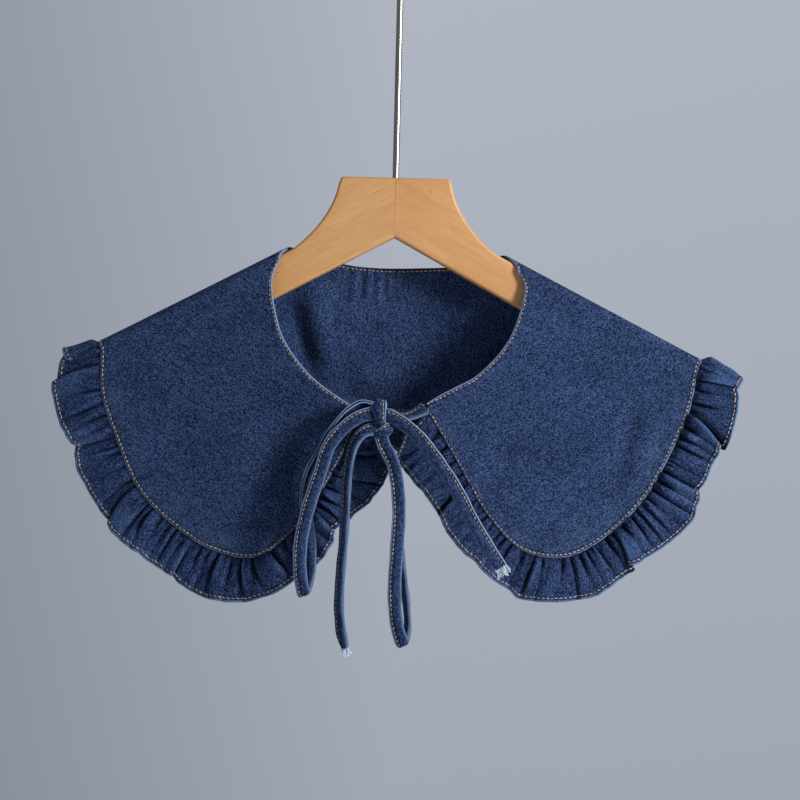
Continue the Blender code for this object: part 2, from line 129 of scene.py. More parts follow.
RIGHT_CREASES = (
    (17.5, 9, 0.35, 1.4, 0, 33), (26, 20, 0.25, 1.2, 0, 31), (36, 31, 0.6, 1.6, 0, 29.5),
    (45, 44, 0.5, 1.6, 0, 27), (53, 60.5, 1, 4.6, -1.6, 25), (62.5, 66, 0.4, 1.2, 0, 26),
    (67.5, 69, 0.2, 1.2, 0, 26.5), (75, 77, 0.3, 1.4, 0, 26.5), (81, 83, 0.3, 1.2, 0, 26),
    (87, 89.5, 0.7, 1.8, 0.8, 24.2), (92, 94, 0.35, 1.6, 0, 24.8), (97.5, 100, 0.5, 2.2, 0, 25),
    (106, 106.5, 0.3, 1.4, 0, 25), (113.8, 111.5, 0.9, 2.8, -0.8, 28.2),
    (119, 117.5, 0.25, 0.8, 0, 27.5), (130.5, 124, 0.4, 1.6, 0, 27), (136, 134.5, 1, 1.3, 0, 27),
    (141, 141, 0.6, 2, 0, 28), (145.5, 146, 0.4, 1.6, 0, 27), (151.5, 153.5, 0.75, 2.2, 0.8, 26.3),
    (160.5, 158.5, 0.5, 2.2, 0, 26.5), (168.5, 163, 1, 3.8, -3, 27.6, 24.4),
    (174, 170.5, 0.4, 1.2, 0, 25.6), (180, 176, 0.75, 2.6, 0, 27.2),
    (186.5, 181.5, 0.9, 2.4, -0.6, 28.8), (191, 187.5, 0.85, 1.8, 0, 30), (195, 194, 0.3, 1.4, 0, 30.8),
    (200.5, 202, 1, 2.2, 0.8, 31.8, 31.4), (207, 207.5, 0.45, 2, 0, 29.6),
    (212.5, 213.5, 1, 3.2, 2.4, 28.6, 25.4), (219.5, 219, 0.35, 1.6, 0, 28.2),
    (226, 226.5, 1, 3, 2.2, 28, 25.6), (233, 232.5, 0.75, 2.4, 0, 26.2),
    (238.5, 236, 0.45, 2.4, 0, 26.4), (244, 239, 0.4, 2, 0, 26.8), (251.5, 242, 1, 4, 3, 27.2, 29.2),
    (260.5, 260.5, 0.65, 1.8, 0, 29), (268.5, 268, 0.45, 1.6, 0, 28),
    (277, 276, 1, 3, -2.8, 25.5, 28.5), (282.5, 282, 0.3, 1.2, 0, 28), (287.5, 287, 0.3, 1.2, 0, 28),
    (293.5, 289, 1, 3.6, 0, 28),
)

# Routes of the straps: x, y, z of the strap's middle, and its twist in degrees, 0 facing front.
LEFT_TIE = (
    (-20, -24.4, -309.6, 0), (-17.2, -25.8, -309.9, 5), (-13.6, -28.8, -310.5, 15),
    (-10.4, -31.4, -310.9, 20),
)
RIGHT_TIE = (
    (21.5, -24, -308.2, 25), (17.5, -25.4, -310.6, 40), (12, -28, -313.2, 50), (6, -30.8, -313.6, 45),
    (-0.3, -32, -311.8, 25),
)
LEFT_LOOP = (
    (-7.4, -36.2, -311.4, 0), (-11.3, -38, -312, 0), (-16.7, -39, -313.5, 0), (-22.1, -40, -316.4, 0),
    (-29.1, -41, -322.6, 0), (-35.6, -41, -331, 5), (-41, -41, -348, 10), (-48, -41, -371, 10),
    (-52, -41, -394, 10), (-50.9, -41, -414, 10), (-48.9, -37.8, -421.5, 10), (-46.6, -34, -414, 30),
    (-46.2, -33, -401, 60), (-47.4, -33, -385, 92), (-50.2, -33.6, -364, 124),
    (-48.3, -34.4, -347.5, 142), (-42, -35, -334.5, 148), (-32.4, -36, -318, 148),
    (-25, -36, -309.8, 148), (-17.4, -36, -305.6, 146), (-9.8, -36, -306.8, 140),
)
LEFT_TAIL = (
    (-7.6, -36.6, -321.6, 20), (-11.8, -39.2, -322, 35), (-14.8, -40.8, -323.1, 48),
    (-18.1, -41.8, -326, 58), (-21.4, -42.2, -332, 68), (-23.8, -42, -343, 72), (-24.9, -42, -358, 73),
    (-25.3, -41, -376, 73), (-26.5, -39, -397, 72), (-27.6, -38, -416, 70), (-27.6, -37.5, -432, 66),
    (-25.9, -37, -445, 60), (-23.4, -37, -454, 55),
)
RIGHT_LOOP = (
    (-4.8, -36.6, -322.6, -5), (-4.4, -38, -327, 0), (-3, -38.7, -330.8, 5), (-0.2, -39.4, -335.6, 10),
    (2.8, -40, -341.6, 10), (5, -40.2, -350.6, 5), (7, -40.2, -370, 0), (6.4, -40.2, -391, 0),
    (5.5, -40.2, -412, 5), (6, -40.2, -428, 8), (8.4, -40, -443, 10), (11.8, -36.4, -450.4, 10),
    (13.8, -32.8, -443, 10), (13.2, -31.8, -430, 10), (10.8, -31.6, -412, 10), (8.2, -31.6, -391, 10),
    (6.8, -31.8, -370, 10), (5, -32.4, -350, 10), (1.2, -33, -337, 10), (-2.4, -33.2, -330.6, 5),
    (-3, -33.2, -327.5, 0),
)
RIGHT_TAIL = (
    (-3.6, -36.4, -312.2, 0), (1.5, -37.8, -313.9, 0), (5.4, -38.9, -315.9, 0), (10.2, -39.8, -319, 0),
    (17.7, -40.4, -325.3, 0), (26.4, -40.5, -335.6, 0), (35, -40.2, -347, 0), (43, -39.6, -359.6, 0),
    (50.6, -39, -373.6, 0), (60, -38, -389, 0), (69.4, -37, -403, 0),
)


# ---- sums on points


def unit(vectors: Array) -> Array:
    """Vectors of length one, along the last axis."""
    return vectors / np.maximum(np.linalg.norm(vectors, axis=-1, keepdims=True), 1e-12)


def smoothstep(low: float, high: float, value: Array) -> Array:
    """A soft step from 0 at low to 1 at high."""
    share = np.clip((value - low) / (high - low), 0.0, 1.0)
    return share * share * (3.0 - 2.0 * share)


def bell(distance: Array, reach: float) -> Array:
    """A bell curve, 1 at distance 0."""
    return np.exp(-((distance / reach) ** 2))


def quarter_round(distance: Array, radius: float) -> Array:
    """A quarter circle's height, from 0 at distance 0 to 1 at the radius and past it."""
    share = np.clip(distance / radius, 0.0, 1.0)
    return np.sqrt(np.clip(1 - (1 - share) ** 2, 0.0, 1.0))


def bordered(values: Array) -> Array:
    """A grid of values with those along its border made 0."""
    return np.pad(values[1:-1, 1:-1], 1)


def smooth_points(points: Array, steps: int) -> Array:
    """Points of smooth curves through the given ones.

    Args:
        points: Knots along the first axis and coordinates along the last.
        steps: Points worked out for each span.

    Returns:
        The finer points, with the same further axes.
    """
    ends = [2 * points[0] - points[1], *points, 2 * points[-1] - points[-2]]
    made = []
    for before, a, b, after in zip(ends, ends[1:], ends[2:], ends[3:]):
        span = np.linalg.norm(b - a, axis=-1, keepdims=True)
        heading = (b - a) / span
        leave = (heading + unit(a - before)) * span / 2
        arrive = (unit(after - b) + heading) * span / 2
        for t in np.arange(steps) / steps:
            made.append(
                (2 * t**3 - 3 * t**2 + 1) * a
                + (t**3 - 2 * t**2 + t) * leave
                + (3 * t**2 - 2 * t**3) * b
                + (t**3 - t**2) * arrive
            )
    made.append(points[-1])
    return np.array(made)


def path_lengths(points: Array) -> Array:
    """How far each point lies along the line through them all."""
    return np.concatenate([[0.0], np.cumsum(np.linalg.norm(np.diff(points, axis=0), axis=1))])


def resample(points: Array, lengths: Array, wanted: Array) -> Array:
    """Values given one row for each of some rising lengths, read at the wanted lengths."""
    return np.stack([np.interp(wanted, lengths, column) for column in points.T], axis=-1)


def grid_normals(points: Array) -> Array:
    """Unit normals of a grid of points."""
    return unit(np.cross(np.gradient(points, axis=0), np.gradient(points, axis=1)))


# ---- meshes


def link_object(name: str, data: Any) -> Object:
    """Puts new data into the scene as an object."""
    made = bpy.data.objects.new(name, data)
    bpy.context.scene.collection.objects.link(made)
    return made


def evaluated_mesh(source: Object) -> Mesh:
    """A plain mesh of an object as its modifiers or its curve's settings make it."""
    graph = bpy.context.evaluated_depsgraph_get()
    return bpy.data.meshes.new_from_object(source.evaluated_get(graph))


def link_mesh(
    name: str,
    points: Array,
    faces: list[tuple[int, ...]],
    uv: Optional[Array] = None,
    worn: Optional[Array] = None,
    edges: Sequence[tuple[int, int]] = (),
) -> Object:
    """Makes an object of points in millimetres.

    Args:
        name: The object's name.
        points: Its vertices in millimetres.
        faces: Vertex numbers of each face.
        uv: The fabric's own place of each vertex, in metres.
        worn: From 0, dark, to 1, pale, for each vertex: faded by wear, painted shade and painted highlights.
        edges: Edges of a mesh without faces.

    Returns:
        The linked object, shaded smooth.
    """
    mesh = bpy.data.meshes.new(name)
    mesh.from_pydata((points * MM).tolist(), list(edges), faces)
    if uv is not None:
        corners = np.empty(len(mesh.loops), dtype=np.int32)
        mesh.loops.foreach_get("vertex_index", corners)
        layer = mesh.uv_layers.new(name="weave")
        layer.data.foreach_set("uv", uv[corners].astype(np.float32).ravel())
    if worn is not None:
        wear_and_light = mesh.attributes.new("worn", "FLOAT", "POINT")
        wear_and_light.data.foreach_set("value", worn.astype(np.float32).ravel())
    if faces:
        mesh.shade_smooth()
    mesh.update()
    return link_object(name, mesh)


def cloth_shell(name: str, middle: Array, half: Array, uv: Array, worn: Array) -> Object:
    """Makes a closed cloth from a grid of its middle, thinned to nothing along the borders.

    Args:
        name: The object's name.
        middle: Points of the cloth's middle in millimetres, rows by columns.
        half: Half its thickness at each.
        uv: The fabric's own place of each, in millimetres.
        worn: How pale or dark each is, from 0 to 1, by wear and by painted shade and highlights.

    Returns:
        The linked object.
    """
    rows, columns = half.shape
    off = grid_normals(middle) * half[..., None]
    front = np.arange(rows * columns).reshape(rows, columns)
    back = front.copy()
    back[1:-1, 1:-1] = rows * columns + np.arange((rows - 2) * (columns - 2)).reshape(rows - 2, -1)
    faces: list[tuple[int, ...]] = []
    for numbers, turned in ((front, False), (back, True)):
        corners = [numbers[:-1, :-1], numbers[1:, :-1], numbers[1:, 1:], numbers[:-1, 1:]]
        if turned:
            corners.reverse()
        faces += list(map(tuple, np.stack(corners, axis=-1).reshape(-1, 4).tolist()))
    inside = (slice(1, -1), slice(1, -1))
    points = np.concatenate([(middle + off).reshape(-1, 3), (middle - off)[inside].reshape(-1, 3)])
    flat = np.concatenate([uv.reshape(-1, 2), uv[inside].reshape(-1, 2)]) * MM
    wear_and_light = np.concatenate([worn.ravel(), worn[inside].ravel()])
    return link_mesh(name, points, faces, flat, wear_and_light)


def dress(
    piece: Object, finish: Material, node: Optional[str] = None
) -> Object:
    """Gives a piece its material and ties it to the frame.

    Args:
        piece: The finished piece.
        finish: Its material.
        node: The CAD node that it stands for.

    Returns:
        The piece.
    """
    piece.data.materials.clear()
    piece.data.materials.append(finish)
    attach(piece, BODY)
    if node:
        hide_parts(node)
    log.info("%s: %d faces", piece.name, len(piece.data.polygons))
    return piece


# ---- node trees


@dataclass(frozen=True)
class Nodes:
    """Lays nodes in one tree. An input takes a plain value or another node's socket."""

    tree: NodeTree

    def plug(self, node: Node, inputs: dict) -> None:
        """Sets or links a node's inputs.

        Args:
            node: The node.
            inputs: A value or another node's socket for each input, by name or number.
        """
        for name, value in inputs.items():
            if isinstance(value, Socket):
                self.tree.links.new(value, node.inputs[name])
            else:
                node.inputs[name].default_value = value

    def shade(self, inputs: dict) -> None:
        """Sets or links the inputs of a material's shader."""
        self.plug(self.tree.nodes["Principled BSDF"], inputs)

    def add(self, kind: str, inputs: Optional[dict] = None, **settings: Any) -> Node:
        """Adds a node.

        Args:
            kind: The node's type.
            inputs: Its inputs, as plug takes them.
            **settings: The node's own properties.

        Returns:
            The node.
        """
        node = self.tree.nodes.new(kind)
        for name, value in settings.items():
            setattr(node, name, value)
        self.plug(node, inputs or {})
        return node

    def out(self, kind: str, inputs: Optional[dict] = None, **settings: Any) -> Socket:
        """The first output of a new node."""
        return self.add(kind, inputs, **settings).outputs[0]

    def reckon(self, operation: str, *values: Any, clamp: bool = False) -> Socket:
        """A Math node's result for one to three values or sockets."""
        return self.out("ShaderNodeMath", dict(enumerate(values)), operation=operation, use_clamp=clamp)

    def waver(self, base: Any, parts: Sequence[tuple[Socket, float]]) -> Socket:
        """A value that wavers about a base.

        Args:
            base: The base.
            parts: Values about 0.5, and how much each one's distance from 0.5 counts.

        Returns:
            Its socket.
        """
        for value, weight in parts:
            base = self.reckon("MULTIPLY_ADD", self.reckon("SUBTRACT", value, 0.5), weight, base)
        return base

    def ramp(self, value: Socket, stops: Sequence[tuple[float, Colour]]) -> Socket:
        """A Color Ramp node's colour.

        Args:
            value: What it reads.
            stops: The place and colour of each stop.

        Returns:
            Its socket.
        """
        node = self.add("ShaderNodeValToRGB", {"Fac": value})
        ramp = node.color_ramp
        while len(ramp.elements) < len(stops):
            ramp.elements.new(0.5)
        for element, (place, colour) in zip(ramp.elements, stops):
            element.position = place
            element.color = (*colour, 1.0)
        return node.outputs["Color"]

    def mix(self, how: str, share: Any, first: Any, second: Any) -> Socket:
        """A Mix node's colour: a share of the second blended into the first, as how says."""
        sides = {0: share, 6: first, 7: second}
        return self.add("ShaderNodeMix", sides, data_type="RGBA", blend_type=how).outputs[2]

    def noise(
        self, place: Socket, scale: Row, detail: float, shift: float = 0.0, roughness: float = 0.5
    ) -> Socket:
        """Noise drawn out along the axes.

        Args:
            place: Where it is read, in metres.
            scale: How many spots it has to the metre along each axis.
            detail: How many finer layers it has.
            shift: How far it is moved, so that no two are alike.
            roughness: How strong its finer layers are.

        Returns:
            Its value.
        """
        moved = self.out(
            "ShaderNodeMapping", {"Vector": place, "Location": (shift, shift, 0.0), "Scale": scale}
        )
        return self.out(
            "ShaderNodeTexNoise", {"Vector": moved, "Scale": 1.0, "Detail": detail, "Roughness": roughness}
        )

    def bump(self, height: Socket, strength: float, distance: float) -> Socket:
        """The normal of a surface raised by a height."""
        return self.out("ShaderNodeBump", {"Height": height, "Strength": strength, "Distance": distance})


def new_material(name: str) -> tuple[Material, Nodes]:
    """A new material and the nodes of its tree."""
    made = bpy.data.materials.new(name)
    made.use_nodes = True
    return made, Nodes(made.node_tree)


def scaled(colour: Colour, share: float) -> Colour:
    """A colour made lighter or darker."""
    return tuple(channel * share for channel in colour)


@dataclass(frozen=True)
class DenimFinish:
    """Indigo twill, dyed in the warp: speckled, streaked along the warp, faded on its edges, and painted with
    shade and highlights.

    Sizes are in metres, those of the spots across the warp and along it.
    """

    name: str
    colour: Colour
    speckle: float = 1.0
    # pale: colour of edges faded by wear, also of painted highlights
    pale: Colour = (0.25, 0.37, 0.6)
    weft: Colour = (0.044, 0.058, 0.064)
    # shade: colour multiplied in for painted shade and painted shadow
    shade: Colour = (0.12, 0.13, 0.18)
    warp_yarn: float = 0.00036
    float_length: float = 0.00072
    twill_step: float = 1 / 3
    wander: float = 0.0011
    wander_spots: Row = (0.004, 0.006)
    fleck_spots: Row = (0.0004, 0.00055)
    slub_spots: Row = (0.0009, 0.014)
    cloud_spots: Row = (0.03, 0.045)

    def weave(self, nodes: Nodes, place: Socket, wobble: Socket) -> tuple[Socket, Socket]:
        """The warp yarns where they float over the weft.

        Args:
            nodes: The material's nodes.
            place: The weave map.
            wobble: How far the yarns wander there.

        Returns:
            How high each float stands, and the dye that it took.
        """
        parts = nodes.add("ShaderNodeSeparateXYZ", {"Vector": place}).outputs
        yarn = nodes.reckon("DIVIDE", nodes.reckon("ADD", parts[0], wobble), self.warp_yarn)
        number = nodes.reckon("FLOOR", yarn)
        lift = nodes.reckon("DIVIDE", nodes.reckon("ADD", parts[1], wobble), self.float_length)
        lift = nodes.reckon("MULTIPLY_ADD", number, self.twill_step, lift)
        cell = nodes.out("ShaderNodeCombineXYZ", {"X": number, "Y": nodes.reckon("FLOOR", lift)})
        dye = nodes.out("ShaderNodeTexWhiteNoise", {"Vector": cell}, noise_dimensions="2D")
        across, along = (
            nodes.reckon("SINE", nodes.reckon("MULTIPLY", nodes.reckon("FRACT", way), math.pi))
            for way in (yarn, lift)
        )
        return nodes.reckon("MULTIPLY", across, nodes.reckon("POWER", along, 0.4)), dye

    def dye_stops(self) -> tuple[tuple[float, Colour], ...]:
        """The colours of the dye.

        Returns:
            Ramp stops from the deepest dye to where the weft shows through.
        """
        pairs = tuple(zip(self.colour, self.weft))
        return (
            (0.0, scaled(self.colour, 0.1)),
            (0.3, scaled(self.colour, 0.5)),
            (0.52, self.colour),
            (0.75, tuple(1.6 * c + 0.4 * w for c, w in pairs)),
            (1.0, tuple(1.8 * c + w for c, w in pairs)),
        )

    def build(self) -> Material:
        """Builds the material.

        Returns:
            The material, reading the piece's own weave map and its worn attribute.
        """
        made, nodes = new_material(self.name)
        place = nodes.out("ShaderNodeUVMap", uv_map="weave")

        def spots(size: Row, detail: float, shift: float) -> Socket:
            """Noise with spots of a given size."""
            return nodes.noise(place, (1 / size[0], 1 / size[1], 1.0), detail, shift)

        wobble = nodes.reckon("MULTIPLY", spots(self.wander_spots, 1.0, 3.0), self.wander)
        twill, dye = self.weave(nodes, place, wobble)
        fleck = spots(self.fleck_spots, 3.0, 11.0)
        slub = spots(self.slub_spots, 1.0, 5.0)
        cloud = spots(self.cloud_spots, 2.0, 1.0)
        dyes = ((fleck, 0.8 * self.speckle), (dye, self.speckle))
        weights = (*dyes, (slub, 0.35), (cloud, 0.35), (twill, 0.3))
        dyed = nodes.ramp(nodes.waver(0.5, weights), self.dye_stops())
        wear_and_light = nodes.add("ShaderNodeAttribute", attribute_name="worn").outputs["Fac"]
        # Above 0.5 the cloth is mixed towards pale: faded edges and painted highlights. Below 0.5 it is
        # darkened with the shade colour: painted shade and painted shadow.
        above = nodes.reckon("MULTIPLY", nodes.reckon("SUBTRACT", wear_and_light, 0.5), 2.0)
        above = nodes.reckon("MULTIPLY", above, nodes.reckon("ADD", fleck, 0.35), clamp=True)
        below = nodes.reckon("MULTIPLY", nodes.reckon("SUBTRACT", 0.5, wear_and_light), 1.8, clamp=True)
        dyed = nodes.mix("MIX", above, dyed, (*self.pale, 1.0))
        dyed = nodes.mix("MULTIPLY", below, dyed, (*self.shade, 1.0))
        height = nodes.reckon("MULTIPLY_ADD", twill, 0.5, nodes.reckon("MULTIPLY", fleck, 0.5))
        nodes.shade({
            "Base Color": dyed,
            "Normal": nodes.bump(height, 0.5, 0.0004),
            "Roughness": 0.9,
            "Specular IOR Level": 0.12,
        })
        return made


@dataclass(frozen=True)
class ThreadFinish:
    """Twisted sewing thread, or the pale ends of unravelled yarn."""

    name: str
    light: Colour
    dark: Colour
    twist: float = 0.0006
    wave_length: float = 0.31

    def build(self) -> Material:
        """Builds the material.

        Returns:
            The material, reading object coordinates.
        """
        made, nodes = new_material(self.name)
        place = nodes.add("ShaderNodeTexCoord").outputs["Object"]
        mottle = nodes.noise(place, (260.0, 260.0, 260.0), 2.0)
        ply = nodes.add(
            "ShaderNodeTexWave",
            {"Vector": place, "Scale": self.wave_length / self.twist, "Distortion": 0.5},
            bands_direction="DIAGONAL",
        ).outputs["Fac"]
        nodes.shade({
            "Base Color": nodes.ramp(mottle, ((0.35, self.dark), (0.62, self.light))),
            "Normal": nodes.bump(ply, 0.4, 0.0002),
            "Roughness": 0.6,
            "Sheen Weight": 0.1,
        })
        return made


@dataclass(frozen=True)
class WoodFinish:
    """Honey-coloured beech under clear lacquer, its grain along one arm."""

    name: str
    side: Side
    slope: float
    light: Colour = (0.57, 0.322, 0.139)
    middle: Colour = (0.487, 0.254, 0.099)
    dark: Colour = (0.43, 0.205, 0.07)
    pore: Colour = (0.45, 0.33, 0.25)

    def build(self) -> Material:
        """Builds the material.

        Returns:
            The material, reading object coordinates turned along the arm.
        """
        made, nodes = new_material(self.name)
        place = nodes.add("ShaderNodeTexCoord").outputs["Object"]
        tilt = self.side.value * math.atan(self.slope)
        turned = nodes.out("ShaderNodeMapping", {"Vector": place, "Rotation": (0.0, -tilt, 0.0)})
        bands, fibre, patch, pores = (
            nodes.noise(turned, scale, detail, roughness=0.6)
            for scale, detail in (
                ((6.0, 70.0, 110.0), 3.0),
                ((60.0, 700.0, 1300.0), 3.0),
                ((14.0, 14.0, 22.0), 1.0),
                ((220.0, 900.0, 900.0), 1.0),
            )
        )
        tone = nodes.waver(0.5, ((bands, 0.4), (fibre, 0.7), (patch, 0.5)))
        colour = nodes.ramp(tone, ((0.25, self.dark), (0.5, self.middle), (0.75, self.light)))
        speck = nodes.ramp(pores, ((0.2, self.pore), (0.26, (1.0, 1.0, 1.0))))
        nodes.shade({
            "Base Color": nodes.mix("MULTIPLY", 0.7, colour, speck),
            "Roughness": nodes.reckon("MULTIPLY_ADD", fibre, 0.2, 0.42),
            "Normal": nodes.bump(fibre, 0.12, 0.0003),
            "Coat Weight": 0.1,
            "Coat Roughness": 0.4,
        })
        return made


@dataclass(frozen=True)
class SteelFinish:
    """Drawn steel wire with fine lines along it."""

    name: str = "drawn_steel"
    colour: Colour = (0.3, 0.285, 0.25)

    def build(self) -> Material:
        """Builds the material.

        Returns:
            The material, reading object coordinates.
        """
        made, nodes = new_material(self.name)
        place = nodes.add("ShaderNodeTexCoord").outputs["Object"]
        lines = nodes.noise(place, (900.0, 900.0, 12.0), 1.0)
        cloud = nodes.noise(place, (25.0, 25.0, 25.0), 1.0)
        nodes.shade({
            "Base Color": nodes.ramp(cloud, ((0.3, scaled(self.colour, 0.85)), (0.6, self.colour))),
            "Metallic": 1.0,
            "Roughness": nodes.reckon("MULTIPLY_ADD", lines, 0.1, 0.27),
        })
        return made


# ---- thread by Geometry Nodes


class ThreadTree:
    """A Geometry Nodes tree that sets threads on a guide line, turned by its "off" attribute."""

    def __init__(self, name: str, sizes: Sequence[tuple[str, str]]) -> None:
        """Starts the tree, with a guide, the sizes, a seed and a material going in.

        Args:
            name: The tree's name.
            sizes: The name and socket type of each size.
        """
        self.tree = bpy.data.node_groups.new(name, "GeometryNodeTree")
        self.tree.interface.new_socket("Geometry", in_out="INPUT", socket_type="NodeSocketGeometry")
        for size, kind in (*sizes, ("Seed", "NodeSocketInt"), ("Thread", "NodeSocketMaterial")):
            self.tree.interface.new_socket(size, in_out="INPUT", socket_type=kind)
        self.tree.interface.new_socket("Geometry", in_out="OUTPUT", socket_type="NodeSocketGeometry")
        self.nodes = Nodes(self.tree)
        self.given = self.tree.nodes.new("NodeGroupInput").outputs

    def places(self, spacing: dict, **settings: Any) -> Socket:
        """Points of the guide line, spaced as given."""
        line = self.nodes.out("GeometryNodeMeshToCurve", {"Mesh": self.given["Geometry"]})
        return self.nodes.out("GeometryNodeResampleCurve", {"Curve": line, **spacing}, **settings)

    def upright(self) -> Socket:
        """The turn that stands a thread along the guide's "off"."""
        off = self.nodes.out("GeometryNodeInputNamedAttribute", {"Name": "off"}, data_type="FLOAT_VECTOR")
        return self.nodes.out("FunctionNodeAlignRotationToVector", {"Vector": off}, axis="Z")

    def chance(self, low: Any, high: Any) -> Socket:
        """Three random numbers for each thread, between two corners."""
        ends = {"Min": low, "Max": high, "Seed": self.given["Seed"]}
        return self.nodes.out("FunctionNodeRandomValue", ends, data_type="FLOAT_VECTOR")

    def place(
        self,
        thread: Socket,
        points: Socket,
        turn: Socket,
        lean: Socket,
        size: Socket,
        soft: bool,
    ) -> NodeTree:
        """Sets a thread at every point, makes them real and gives them their material.

        Args:
            thread: One thread.
            points: Where they go.
            turn: How each is turned.
            lean: How far it leans from there about its own axes.
            size: How large each is.
            soft: Whether they are shaded smooth.

        Returns:
            The finished tree.
        """
        out = self.nodes.out
        by = out("FunctionNodeEulerToRotation", {0: lean})
        turned = out(
            "FunctionNodeRotateRotation", {"Rotation": turn, "Rotate By": by}, rotation_space="LOCAL"
        )
        threads = out(
            "GeometryNodeInstanceOnPoints",
            {"Points": points, "Instance": thread, "Rotation": turned, "Scale": size},
        )
        threads = out("GeometryNodeRealizeInstances", {"Geometry": threads})
        if soft:
            threads = out("GeometryNodeSetShadeSmooth", {"Geometry": threads})
        dyed = out("GeometryNodeSetMaterial", {"Geometry": threads, "Material": self.given["Thread"]})
        self.nodes.add("NodeGroupOutput", {"Geometry": dyed})
        return self.tree


def stitch_tree() -> NodeTree:
    """The tree that lays stitches along a guide line, each with its back to the cloth.

    Returns:
        The tree, with inputs for the pitch, length, width, height, seed and material.
    """
    made = ThreadTree(
        "topstitching", [(size, "NodeSocketFloat") for size in ("Pitch", "Length", "Width", "Height")]
    )
    out, given = made.nodes.out, made.given
    facing = out(
        "FunctionNodeAlignRotationToVector",
        {"Rotation": made.upright(), "Vector": out("GeometryNodeInputTangent")},
        axis="X",
        pivot_axis="Z",
    )
    ball = made.nodes.add("GeometryNodeMeshUVSphere", {"Segments": 8, "Rings": 5, "Radius": 0.5})
    size = out("ShaderNodeCombineXYZ", {0: given["Length"], 1: given["Width"], 2: given["Height"]})
    return made.place(
        out("GeometryNodeTransform", {"Geometry": ball.outputs[0], "Scale": size}),
        made.places({"Length": given["Pitch"]}, mode="LENGTH"),
        facing,
        made.chance((-0.05, -0.05, -0.2), (0.05, 0.05, 0.02)),
        made.chance((0.88, 0.85, 0.85), (1.08, 1.12, 1.15)),
        soft=True,
    )


def fray_tree() -> NodeTree:
    """The tree that grows loose yarn ends from a guide line.

    Returns:
        The tree, with inputs for the count, length, thickness, spread, seed and material.
    """
    sizes = [(size, "NodeSocketFloat") for size in ("Length", "Thickness", "Spread")]
    made = ThreadTree("frayed_end", [("Count", "NodeSocketInt"), *sizes])
    out, given = made.nodes.out, made.given
    yarn = out(
        "GeometryNodeCurveQuadraticBezier",
        {"Resolution": 6, "Start": (0.0, 0.0, -0.12), "Middle": (0.22, 0.08, 0.55), "End": (-0.08, 0.0, 1.0)},
    )
    ratio = made.nodes.reckon("DIVIDE", given["Thickness"], given["Length"])
    section = out("GeometryNodeCurvePrimitiveCircle", {"Resolution": 4, "Radius": ratio})
    spread = given["Spread"]
    least = made.nodes.reckon("MULTIPLY", spread, -1.0)
    low = out("ShaderNodeCombineXYZ", {0: least, 1: least, 2: -3.1})
    high = out("ShaderNodeCombineXYZ", {0: spread, 1: spread, 2: 3.1})
    share = made.nodes.add(
        "FunctionNodeRandomValue", {"Min": 0.35, "Max": 1.0, "Seed": given["Seed"]}, data_type="FLOAT"
    )
    return made.place(
        out("GeometryNodeCurveToMesh", {"Curve": yarn, "Profile Curve": section, "Fill Caps": True}),
        made.places({"Count": given["Count"]}),
        made.upright(),
        made.chance(low, high),
        made.nodes.reckon("MULTIPLY", share.outputs[1], given["Length"]),
        soft=False,
    )


def grown(source: Object, tree: NodeTree, values: dict) -> Object:
    """Runs a Geometry Nodes tree on a guide and keeps the result as a plain mesh.

    Args:
        source: The guide, which is removed.
        tree: The tree.
        values: The value of each named input.

    Returns:
        The new object, which takes the guide's name.
    """
    modifier = source.modifiers.new(tree.name, "NODES")
    modifier.node_group = tree
    for item in tree.interface.items_tree:
        if item.in_out == "INPUT" and item.name in values:
            modifier[item.identifier] = values[item.name]
    mesh = evaluated_mesh(source)
    name = source.name
    bpy.data.objects.remove(source)
    mesh.name = name
    return link_object(name, mesh)


@dataclass(frozen=True)
class StitchLine:
    """A line of stitches: its points on the cloth's middle, the way off the cloth, and the distance."""

    points: Array
    off: Array
    stand: Array

    def sides(self) -> list[tuple[Array, Array]]:
        """The line on both faces of the cloth, as points and directions."""
        lift = self.off * self.stand[:, None]
        return [(self.points + lift, self.off), (self.points - lift, -self.off)]


@dataclass(frozen=True)
class Sewing:
    """Topstitching thread and its needle's settings, in millimetres."""

    tree: NodeTree
    finish: Material
    length_share: float = 0.86
    width: float = 0.88
    height: float = 0.6

    def guide(self, name: str, runs: list[tuple[Array, Array]]) -> Object:
        """A mesh of edges only, for threads to be set on.

        Args:
            name: The name of what is made from it.
            runs: The points of each line and the direction of a thread at each.

        Returns:
            The guide, with the directions as its "off" attribute.
        """
        edges: list[tuple[int, int]] = []
        start = 0
        for run, _ in runs:
            edges += [(start + i, start + i + 1) for i in range(len(run) - 1)]
            start += len(run)
        points, ways = (np.concatenate(parts) for parts in zip(*runs))
        made = link_mesh(name, points, [], edges=edges)
        off = made.data.attributes.new("off", "FLOAT_VECTOR", "POINT")
        off.data.foreach_set("vector", ways.astype(np.float32).ravel())
        return made

    def sew(self, name: str, lines: list[StitchLine], pitch: float, both: bool = True) -> Object:
        """Lays stitches along some lines.

        Args:
            name: The piece's name.
            lines: The lines.
            pitch: From one stitch to the next, in millimetres.
            both: Whether they show on both faces.

        Returns:
            The stitches as one piece, dressed.
        """
        runs = [side for line in lines for side in (line.sides() if both else line.sides()[:1])]
        sizes = {
            "Pitch": pitch * MM,
            "Length": pitch * self.length_share * MM,
            "Width": self.width * MM,
            "Height": self.height * MM,
            "Seed": SEED,
            "Thread": self.finish,
        }
        return dress(grown(self.guide(name, runs), self.tree, sizes), self.finish)


# ---- hanger


